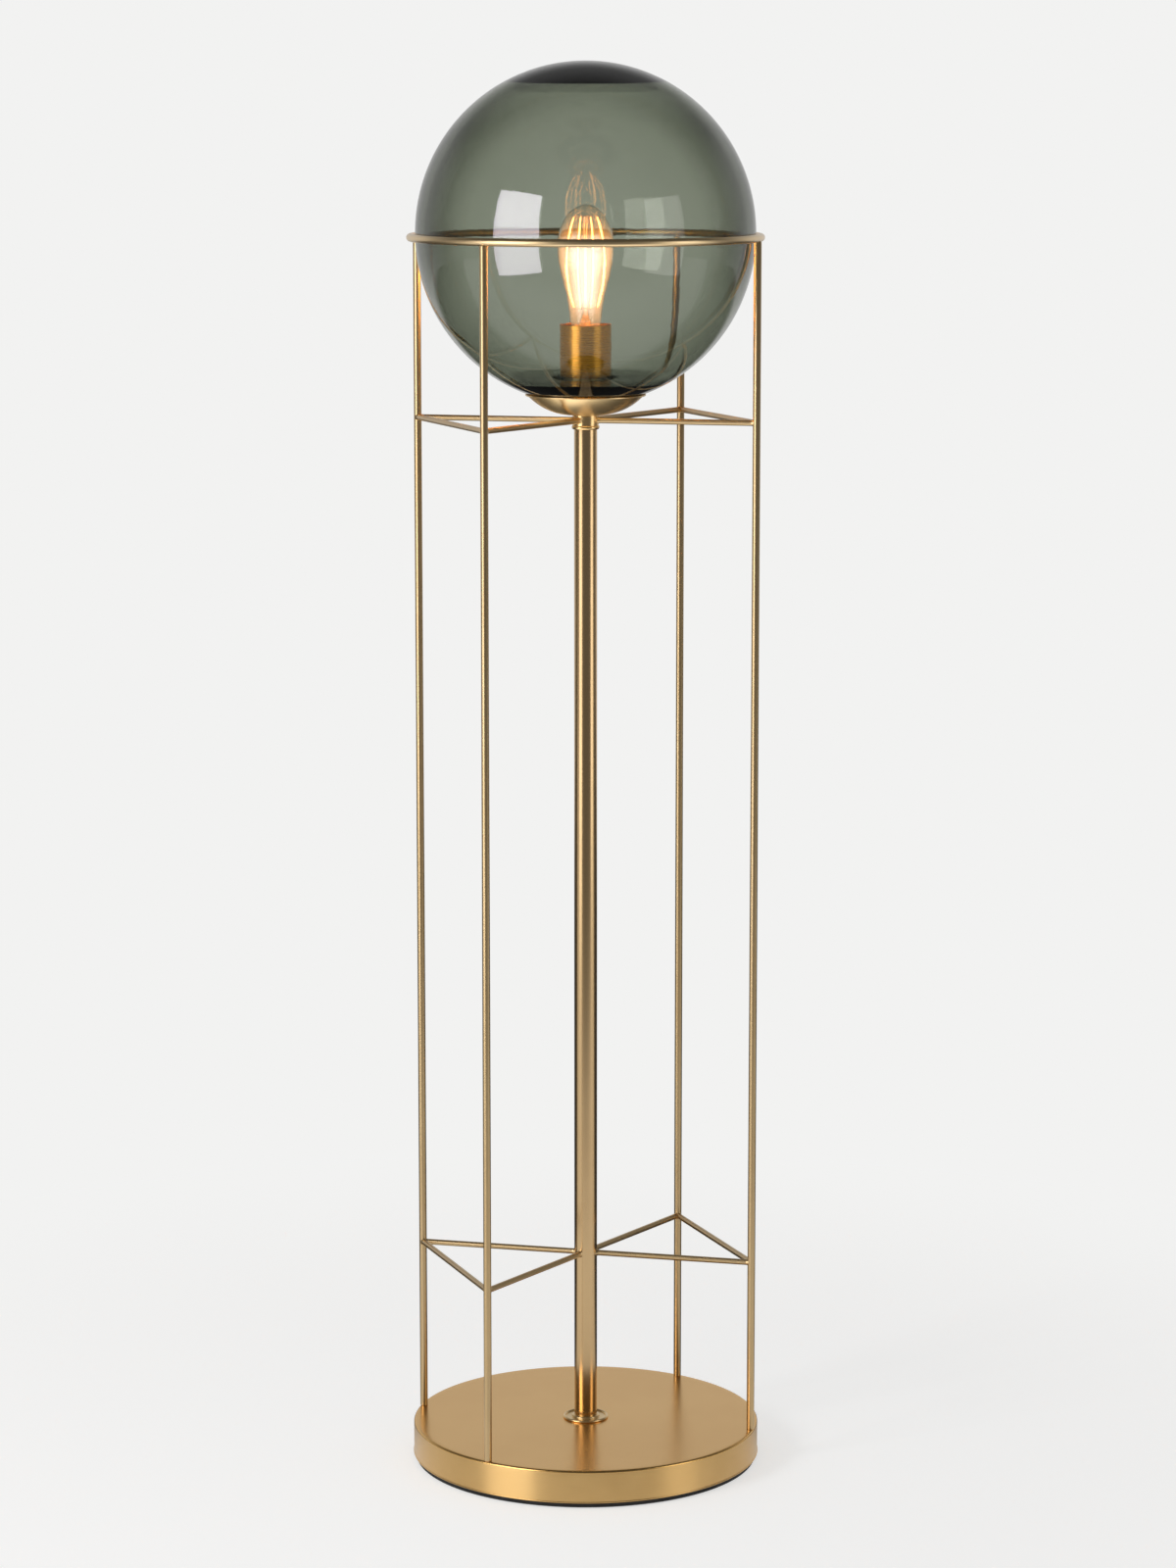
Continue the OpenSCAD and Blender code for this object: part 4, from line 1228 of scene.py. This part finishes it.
@dataclass
class Head(SubAssembly):
    """The cup with its gasket, and the lamp holder in its brushed sleeve."""

    flat_r: float = 14.5
    flat_z: float = COLUMN_TOP
    curve_r: float = 62.0
    rim_r: float = 61.5
    rim_z: float = 1135.56
    wall: float = 1.5
    nipple_r: float = 5.2
    lip_round: float = 0.85
    globe_z: float = GLOBE_Z
    globe_seat_r: float = GLOBE_R + 0.3
    gasket: Span = (39.0, 56.5)
    stem_r: Span = (9.5, 11.0)
    stem_z: float = 1117.0
    bore_r: float = 5.05
    step_r: float = 22.7
    step_z: float = 1146.5
    sleeve_r: float = 26.5
    sleeve_z: Span = (1153.0, 1207.0)
    sleeve_wall: float = 1.2

    def build(self) -> None:
        """Make the cup, gasket and lamp holder, and dress the small parts inside."""
        self._cup()
        self._gasket()
        self._holder()
        self.finishes.dress("upper_nipple", "cup_washer", "cup_nut", "holder_nut", "holder_body",
                            "contact_insert", "screw_shell", "centre_contact")

    def _curve(self, radius: float, r: np.ndarray) -> np.ndarray:
        """Height of a curved cup face at distance r: z = centre - sqrt(radius^2 - (r - flat)^2)."""
        return self.flat_z + self.curve_r - np.sqrt(radius ** 2 - (r - self.flat_r) ** 2)

    def _globe(self, r: np.ndarray) -> np.ndarray:
        """Height of the globe's seat face at distance r: z = centre - sqrt(seat^2 - r^2)."""
        return self.globe_z - np.sqrt(self.globe_seat_r ** 2 - r ** 2)

    def _cup(self) -> None:
        """Turn the cup's sheet, with a small rolled lip and a rim ground to the globe."""
        inside = self.curve_r - self.wall
        r = np.linspace(self.rim_r - 2.5, self.rim_r, 400)
        edge = float(r[np.argmin(np.abs(self._curve(inside, r) - self._globe(r)))])
        lip = arc((self.rim_r + 0.05, self.rim_z - 1.11), self.lip_round, 164, 460, 20)
        outer_r = self.flat_r + (lip[0, 0] - 0.1 - self.flat_r) * np.sin(np.linspace(0, np.pi / 2, 40))
        inner_r = self.flat_r + (edge - self.flat_r) * np.sin(np.linspace(np.pi / 2, 0, 40))
        outer = np.stack([outer_r, self._curve(self.curve_r, outer_r)], 1)
        inner = np.stack([inner_r, self._curve(inside, inner_r)], 1)
        rim = np.array([[edge + 0.25, inner[0, 1] + 0.02]])
        floor = filled(np.array([[self.nipple_r, self.flat_z], [self.flat_r - 0.1, self.flat_z]]), 2.0)
        section = np.concatenate([floor, outer, lip, rim, inner, floor[::-1] + [0.0, self.wall]])
        # the cup takes the lighter spun finish, whose colour is painted light
        self.lay("globe_cup", revolve(section * MM, 256), "turned_brass", ("cup",), finish="spun_brass_painted_lighter")

    def _gasket(self) -> None:
        """Turn the black ring that fills the wedge between the cup and the globe."""
        low, high = self.gasket
        r = np.linspace(low, high, 24)
        under = np.stack([r, self._curve(self.curve_r - self.wall - 0.05, r)], 1)
        over = np.stack([r, self._globe(r)], 1)[::-1]
        over[:2, 1] -= 0.15
        self.lay("globe_gasket", revolve(np.concatenate([under, over]) * MM), "foot_rubber", ("cup_gasket",))

    def _holder(self) -> None:
        """Turn the spacer tube, the stepped base and the sleeve with its rolled top edge."""
        (inner, outer), foot, top = self.stem_r, self.stem_z, self.step_z
        stem = rounded([(inner, foot, 0.2), (outer, foot, 0.3), (outer, top, 0.3), (inner, top, 0.2)],
                       steps=3)
        self.lay("holder_stem", revolve(stem, 96), "turned_brass", ("holder_spacer",))
        (low, high), bore = self.sleeve_z, self.bore_r
        step = rounded([(bore, top, 0), (self.step_r, top, 1.0), (self.step_r, low, 0.5), (bore, low, 0)],
                       steps=5, pitch=2.5)
        self.lay("holder_step", revolve(step, 144), "turned_brass", ("holder_base",))
        inner, floor = self.sleeve_r - self.sleeve_wall, low + self.sleeve_wall
        sleeve = rounded([
            (bore, low, 0), (self.sleeve_r, low, 0.8), (self.sleeve_r, high, 0.55),
            (inner, high, 0.55), (inner, floor, 0.5), (bore, floor, 0),
        ], steps=6, pitch=3.0)
        self.lay("holder_tube", revolve(sleeve, 160), "sleeve_brass", ("holder_sleeve",))


@dataclass
class Globe(SubAssembly):
    """The thick blown globe, level inside its top and bottom, with a hole for the lamp holder."""

    body: str = "globe"
    centre_z: float = GLOBE_Z
    outer_r: float = GLOBE_R
    wall: float = 9.0
    flat_r: float = 76.0
    hole_r: float = 34.0
    hole_round: Span = (1.6, 1.2)

    def build(self) -> None:
        """Turn the shell's section: inner top, inner side, inner bottom, hole, outer side."""
        inner_r = self.outer_r - self.wall
        flat_z = math.sqrt(inner_r ** 2 - self.flat_r ** 2)
        edge = math.degrees(math.atan2(flat_z, self.flat_r))
        top = filled(np.array([[0.0, flat_z], [self.flat_r, flat_z]]), 2.0)
        side = arc((0, 0), inner_r, edge, -edge, 150)
        hole_z = -math.sqrt(self.outer_r ** 2 - self.hole_r ** 2)
        upper, lower = self.hole_round
        hole = rounded([
            (self.flat_r, -flat_z, 0), (self.hole_r, -flat_z, upper), (self.hole_r, hole_z, lower),
            (self.hole_r + 6, hole_z + lower, 0),
        ], steps=6, pitch=2.0, loop=False)[:-1] / MM
        skin_r = self.hole_r + 3.5
        hole = hole[(hole[:, 0] < skin_r - 0.5) | (hole[:, 1] > -flat_z - 0.5)]
        outside = arc((0, 0), self.outer_r, -math.degrees(math.acos(skin_r / self.outer_r)), 90, 200)
        section = np.concatenate([filled(np.concatenate([top, side[1:-1], hole]), 3.0), outside])
        section[-1, 0] = 0.0
        section[:, 1] += self.centre_z
        self.lay("globe_shell", revolve(section * MM, 224, False), "smoked_glass", ("globe",), sharp=60.0)


@dataclass
class Bulb(SubAssembly):
    """The lit bulb: clear envelope, stem, barrel of filaments and a screw cap."""

    body: str = "bulb"
    cap_r: float = 13.0
    cap_z: Span = (1180.5, 1204.5)
    cap_wall: float = 0.4
    pitch: float = 3.6
    thread: float = 0.85
    seat_r: float = 12.55
    seat_z: float = 1198.5
    neck_r: float = 16.5
    neck_z: float = 1209.5
    belly_r: float = 29.0
    belly_z: float = 1286.0
    top_z: float = 1329.5
    wall: float = 0.8
    stem_foot_r: float = 11.7
    stem_r: float = 2.0
    stem_top: float = 1310.5
    filament_z: Span = (1224.5, 1316.5)
    filament_end: float = 13.0
    filament_bow: float = 21.0
    filament_r: float = 0.75
    count: int = 8
    band_r: float = 2.85
    spring_r: float = 0.3

    def build(self) -> None:
        """Make the envelope, stem, filaments, their carrier and the cap."""
        self._envelope()
        self._stem()
        self._filaments()
        self._carrier()
        self._cap()
        self.finishes.dress("bulb_insulator", "bulb_contact")

    def _face(self, gap: float) -> np.ndarray:
        """Half section of the glass: seat, shoulder, pear-shaped side and dome.

        Shoulder and side follow r = a + (b - a)(1 - cos(pi t)) / 2 as t goes from 0 to 1 with the
        height; the dome is an ellipse.

        Args:
            gap: how far the face is drawn in.

        Returns:
            Points (r, z) in millimetres, from the seat's foot to the top.
        """
        def ease(a: float, b: float, z0: float, z1: float, steps: int) -> np.ndarray:
            """The eased side between two heights."""
            t = np.linspace(0, 1, steps)
            return np.stack([a + (b - a) * (1 - np.cos(np.pi * t)) / 2 - gap, z0 + (z1 - z0) * t], 1)

        a = np.linspace(0, np.pi / 2, 40)
        rise = self.top_z - self.belly_z - gap
        dome = np.stack([(self.belly_r - gap) * np.cos(a), self.belly_z + rise * np.sin(a)], 1)
        return np.concatenate([
            [[self.seat_r - gap, self.seat_z]],
            ease(self.seat_r, self.neck_r, self.cap_z[1], self.neck_z, 12),
            ease(self.neck_r, self.belly_r, self.neck_z, self.belly_z, 60)[1:],
            dome[1:],
        ])

    def _envelope(self) -> None:
        """Turn the outer face and the inner one, which meet at the foot of the seat."""
        outer, inner = self._face(0.0), self._face(self.wall)
        outer[-1, 0] = inner[-1, 0] = 0.0
        section = np.concatenate([inner[::-1], outer])
        self.lay("bulb_envelope", revolve(section * MM, 144, False), "bulb_clear_glass",
                 ("bulb_glass",), 60.0)

    def _stem(self) -> None:
        """Turn the glass stem: flared foot, pinch, tapering rod and a button at the top."""
        z, foot, r, top = self.seat_z, self.stem_foot_r, self.stem_r, self.stem_top
        section = rounded([
            (0, z, 0), (foot, z, 0.3), (foot, z + 0.8, 0.3), (5.2, z + 3.2, 4), (5, z + 12, 3),
            (r, z + 22, 6), (r, top - 1.4, 0), (r, top, 1.2), (0, top, 0),
        ], steps=8, loop=False)
        self.lay("bulb_stem_rod", revolve(section, 64, False), "bulb_clear_glass", ("bulb_stem",), 60.0)

    def _filaments(self) -> None:
        """Bow each wire out: r = bow - radius (1 - cos a), z = middle + radius sin a, with rounded ends."""
        low, high = self.filament_z
        bow, rise = self.filament_bow - self.filament_end, (high - low) / 2
        radius = (rise ** 2 + bow ** 2) / (2 * bow)
        half = math.asin(rise / radius)
        a = np.linspace(-half, half, 49)
        r = self.filament_bow - radius + radius * np.cos(a)
        z = (low + high) / 2 + radius * np.sin(a)
        width = self.filament_r * np.sqrt(1 - np.linspace(-1, 1, 49) ** 30 * 0.96)
        self.lay("filament_barrel", Skin.joined(wires(self.count, r, z, width, 10)), "glowing_filament",
                 ("filaments",), 60.0)

    def _carrier(self) -> None:
        """Two bands on the stem, with a springy wire to each end of each filament.

        A wire runs straight out as t goes from 0 to 1, and sags by sag sin(pi t).
        """
        low = self.filament_z[0] - self.filament_r - 0.3
        high = self.filament_z[1] + self.filament_r + 0.3
        bore, band, top = self.stem_r + 0.05, self.band_r, high + 0.3
        lower = rounded([(bore, low - 0.6, 0.1), (band, low - 0.6, 0.25), (band, low + 0.6, 0.25),
                         (bore, low + 0.6, 0.1)], 3, 1.0)
        upper = rounded([(0, self.stem_top, 0), (band, self.stem_top, 0.4), (band, top, 0.8), (0, top, 0)],
                        4, 1.0, False)
        skins = [revolve(lower, 32), revolve(upper, 32, False)]
        t = np.linspace(0, 1, 15)
        start, end = 2.4, self.filament_end + 0.2
        for z, sag in ((low, 0.2), (high, -0.2)):
            skins += wires(self.count, start + (end - start) * t, z - sag * np.sin(np.pi * t),
                           np.full(15, self.spring_r), 8)
        self.lay("filament_carrier", Skin.joined(skins), "plain_steel", ("filament_supports",))

    def _cap(self) -> None:
        """Roll the screw thread: r = crest - depth (1 - cos(2 pi z / pitch - a)) / 2, faded at both ends."""
        (low, high), turns = self.cap_z, 96
        z = np.linspace(low, high - 0.3, 90)
        a = np.linspace(0, 2 * np.pi, turns, endpoint=False)
        fade = np.clip((z - low - 1.0) / 2.0, 0, 1) * np.clip((high - 4.5 - z) / 2.0, 0, 1)
        wave = (1 - np.cos(2 * np.pi * z[:, None] / self.pitch - a)) / 2
        outer = self.cap_r - self.thread * fade[:, None] * wave
        outer[0] -= 0.35
        inner_z = np.linspace(high - 0.1, low + 0.1, 12)
        narrow = ((inner_z < high - 3) & (inner_z > low + 1))[:, None]
        inner = np.full((12, turns), self.cap_r - self.cap_wall) - 0.6 * narrow
        r = np.concatenate([outer, np.full((1, turns), self.cap_r - 0.15), inner])
        height = np.concatenate([z, [high], inner_z])[:, None]
        grid = np.stack([r * np.cos(a), r * np.sin(a), np.broadcast_to(height, r.shape)], -1) * MM
        skin = grid_skin(grid, 2 * np.pi * self.cap_r * MM, lengths(grid[:, 0], True), loop=True)
        self.lay("bulb_screw_cap", skin, "cap_brass", ("bulb_cap",))


class Lit(Enum):
    """What a lamp lights."""

    GLASS = "the globe"
    COLUMN = "the column's tube"
    BARS = "the struts, ties and ring"
    CUP = "the cup and the column's collar"
    METAL = "all but the globe and the rods"
    REST = "all but the globe and the column's tube"
    FLOOR = "the floor"


@dataclass(frozen=True)
class Lamp:
    """A soft rectangular lamp that faces the globe.

    Its azimuth is in degrees from the camera's side to the right, and its lift is how far its
    middle hangs over the globe's. Lift, distance from the axis, width and height are in metres,
    and radiance is the brightness of its face.
    """

    name: str
    lights: Lit
    azimuth: float
    lift: float
    distance: float
    width: float
    height: float
    radiance: float
    tint: Rgb

    def hang(self, head: Point, only: list[bpy.types.Object]) -> None:
        """Put the lamp into the scene.

        Args:
            head: the point that it hangs round, in metres.
            only: what it lights.
        """
        data = bpy.data.lights.new(self.name, "AREA")
        data.shape, data.size, data.size_y = "RECTANGLE", self.width, self.height
        data.energy = 4.0 * self.width * self.height * self.radiance
        data.color = self.tint
        lamp = linked(self.name, data)
        a = math.radians(self.azimuth)
        place = Vector((self.distance * math.sin(a), -self.distance * math.cos(a), head[2] + self.lift))
        aim = Vector(head) + Vector((0, 0, self.lift * 0.5)) - place
        lamp.location, lamp.rotation_euler = place, aim.to_track_quat("-Z", "Y").to_euler()
        lamp.visible_camera = False
        group = bpy.data.collections.new(self.name + "_lights")
        for thing in only:
            group.objects.link(thing)
        lamp.light_linking.receiver_collection = group
        LOG.info("%s lights %s", self.name, self.lights.value)


LAMPS = (
    Lamp("softbox_left", Lit.REST, -49.8, 0.05, 2.6, 1.5, 2.6, 2.3, (1.0, 0.99, 1.0)),
    Lamp("column_window", Lit.COLUMN, -50.5, 0.05, 2.7, 1.5, 2.6, 1.35, (1.0, 0.99, 1.0)),
    Lamp("softbox_right", Lit.METAL, 64.0, -0.02, 2.6, 1.1, 2.2, 1.1, (1.0, 0.99, 0.97)),
    Lamp("glass_window_left", Lit.GLASS, -46.4, 0.07, 2.8, 1.6, 2.56, 6.6, (0.94, 0.86, 1.0)),
    Lamp("glass_window_high", Lit.GLASS, -46.4, 0.80, 2.85, 1.6, 1.1, 1.6, (0.94, 0.90, 1.0)),
    Lamp("glass_window_right", Lit.GLASS, 54.0, -0.02, 2.8, 1.35, 2.3, 1.3, (1.0, 0.99, 0.97)),
    Lamp("bars_under", Lit.BARS, 12.0, -0.75, 0.35, 0.9, 0.6, 0.45, (1.0, 0.99, 0.98)),
    Lamp("cup_under", Lit.CUP, -50.0, -0.75, 0.24, 0.8, 0.6, 0.95, (1.0, 0.99, 0.98)),
    Lamp("floor_key", Lit.FLOOR, -49.8, 0.6, 2.9, 0.9, 0.9, 9.0, WHITE),
)


@dataclass
class Studio:
    """Camera, pale floor, backdrop and soft lamps.

    The ramps of the room go over the direction's Y or Z, and those of the floor over its Y or
    the distance from the lamp, in metres.
    """

    pieces: list[bpy.types.Object]
    eye: Point = (-0.00824, -4.38016, 1.44167)
    pitch: float = 9.26
    yaw: float = 0.14
    focal_px: float = 4323.15
    picture_px: float = 1600.0
    sensor_mm: float = 36.0
    head: Point = (0.0, 0.0, 1.30)
    backdrop: Rgb = (0.888, 0.888, 0.880)
    ambient: float = 0.35
    room: Ramp = (0.25, 0.75, 0.15, 0.72)
    room_ceiling: Ramp = (0.24, 0.6, 1.0, 0.40)
    glass_ceiling: Ramp = (0.05, 0.7, 1.0, 0.4)
    floor_matte: float = 0.62
    floor_light: float = 0.65
    floor_bounce: Rgb = (0.75, 0.75, 0.74)
    floor_z: float = -0.0008
    floor_r: Span = (0.05, 6.0)
    floor_fade: Ramp = (0.45, 1.3, 0.0, 1.0)
    mirror_front: Ramp = (-2.6, -0.9, 0.12, 0.76)
    mirror_back: Ramp = (0.0, 0.25, 1.0, 0.05)
    mirror_far: Ramp = (2.6, 4.2, 0.0, 0.8)

    def build(self) -> None:
        """Set up everything round the lamp."""
        self._camera()
        self._world()
        lit = self._lit(self._floor())
        for lamp in LAMPS:
            lamp.hang(self.head, lit[lamp.lights])
        scene = bpy.context.scene
        scene.view_settings.view_transform = "Standard"
        scene.cycles.sample_clamp_indirect = 5.0

    def _lit(self, floor: bpy.types.Object) -> dict[Lit, list[bpy.types.Object]]:
        """What each kind of lamp lights.

        Args:
            floor: the studio's floor.

        Returns:
            The objects of each kind.
        """
        glass = [o for o in self.pieces if o.name == "globe_shell"]
        column = [o for o in self.pieces if o.name == "column_tube"]
        rods = [o for o in self.pieces if o.name.startswith("cage_rod")]
        return {
            Lit.GLASS: glass,
            Lit.COLUMN: column,
            Lit.BARS: [o for o in self.pieces if o.name.endswith("_bar") or o.name == "cage_hoop"],
            Lit.CUP: [o for o in self.pieces if o.name in ("globe_cup", "column_collar")],
            Lit.METAL: [o for o in self.pieces if o not in glass + rods],
            Lit.REST: [o for o in self.pieces if o not in glass + column],
            Lit.FLOOR: [floor],
        }

    def _camera(self) -> None:
        """The photograph's camera, solved from the ring, rods, globe and base."""
        data = bpy.data.cameras.new("camera")
        data.sensor_width = self.sensor_mm
        data.lens = self.focal_px / self.picture_px * data.sensor_width
        data.clip_end = 50.0
        camera = linked("camera", data)
        camera.location = self.eye
        camera.rotation_euler = Euler((math.radians(90 - self.pitch), 0, math.radians(-self.yaw)))
        bpy.context.scene.camera = camera

    def _world(self) -> None:
        """A pale surround to the eye; in metal and glass a dim room with a pale backdrop behind."""
        world = bpy.data.worlds.new("studio")
        world.use_nodes = True
        bpy.context.scene.world = world
        sheet = Sheet(world.node_tree)
        out = sheet.add("ShaderNodeOutputWorld")
        way = sheet.add("ShaderNodeSeparateXYZ", {0: sheet.add("ShaderNodeTexCoord").outputs["Generated"]})
        room = sheet.times(sheet.ramp(way.outputs[1], *self.room, smooth=True),
                           sheet.ramp(way.outputs[2], *self.room_ceiling, smooth=True))
        through = sheet.times(sheet.ray("Is Transmission Ray"),
                              sheet.ramp(way.outputs[2], *self.glass_ceiling, smooth=True))
        level = sheet.most(sheet.most(sheet.ray("Is Camera Ray"), through), room)
        shown = sheet.add("ShaderNodeBackground", {"Color": colour(self.backdrop), "Strength": level})
        light = sheet.add("ShaderNodeBackground", {"Color": colour(WHITE), "Strength": self.ambient})
        sheet.feed(out, {0: sheet.blended(sheet.seen(), light, shown).outputs[0]})

    def _floor(self) -> bpy.types.Object:
        """A round floor that keeps the lamp's shadow and fades into the backdrop.

        Returns:
            The floor.
        """
        ring = np.concatenate([[0.0], np.geomspace(*self.floor_r, 60)])
        section = np.stack([ring, np.full(len(ring), self.floor_z)], 1)[::-1]
        floor = linked("studio_floor", revolve(section, 96, False).mesh("studio_floor"))
        material, sheet, out = new_material("studio_floor")
        away = sheet.add("ShaderNodeVectorMath", {0: sheet.place()}, operation="LENGTH").outputs["Value"]
        matte = sheet.add("ShaderNodeBsdfDiffuse", {"Color": colour((self.floor_matte,) * 3)})
        lift = sheet.add("ShaderNodeEmission", {"Color": colour(self.backdrop), "Strength": self.floor_light})
        near = sheet.add("ShaderNodeAddShader", {0: matte.outputs[0], 1: lift.outputs[0]})
        plain = sheet.add("ShaderNodeEmission", {"Color": colour(self.backdrop), "Strength": 1.0})
        lit = sheet.blended(sheet.ramp(away, *self.floor_fade, smooth=True), near, plain)
        back = sheet.along(1)
        mirrored = sheet.times(sheet.ramp(back, *self.mirror_front, smooth=True),
                               sheet.ramp(back, *self.mirror_back, smooth=True))
        mirrored = sheet.most(mirrored, sheet.ramp(back, *self.mirror_far, smooth=True))
        clear = sheet.most(sheet.ray("Is Camera Ray"), sheet.ray("Is Transmission Ray"))
        dark = sheet.add("ShaderNodeEmission", {"Color": colour(BLACK), "Strength": 0.0})
        shown = sheet.blended(sheet.most(clear, mirrored), dark, lit)
        bounce = sheet.add("ShaderNodeBsdfDiffuse", {"Color": colour(self.floor_bounce)})
        sheet.feed(out, {"Surface": sheet.blended(sheet.seen(), bounce, shown).outputs[0]})
        floor.data.materials.append(material)
        return floor


def main() -> None:
    """Build the sub-assemblies and the studio."""
    logging.basicConfig(level=logging.INFO, format="%(name)s %(message)s")
    finishes = Finishes()
    for part in (Base, Cage, Column, Head, Globe, Bulb):
        part(finishes).build()
    Studio([o for o in bpy.context.scene.objects if o.type == "MESH"]).build()


if __name__ == "__main__":
    main()
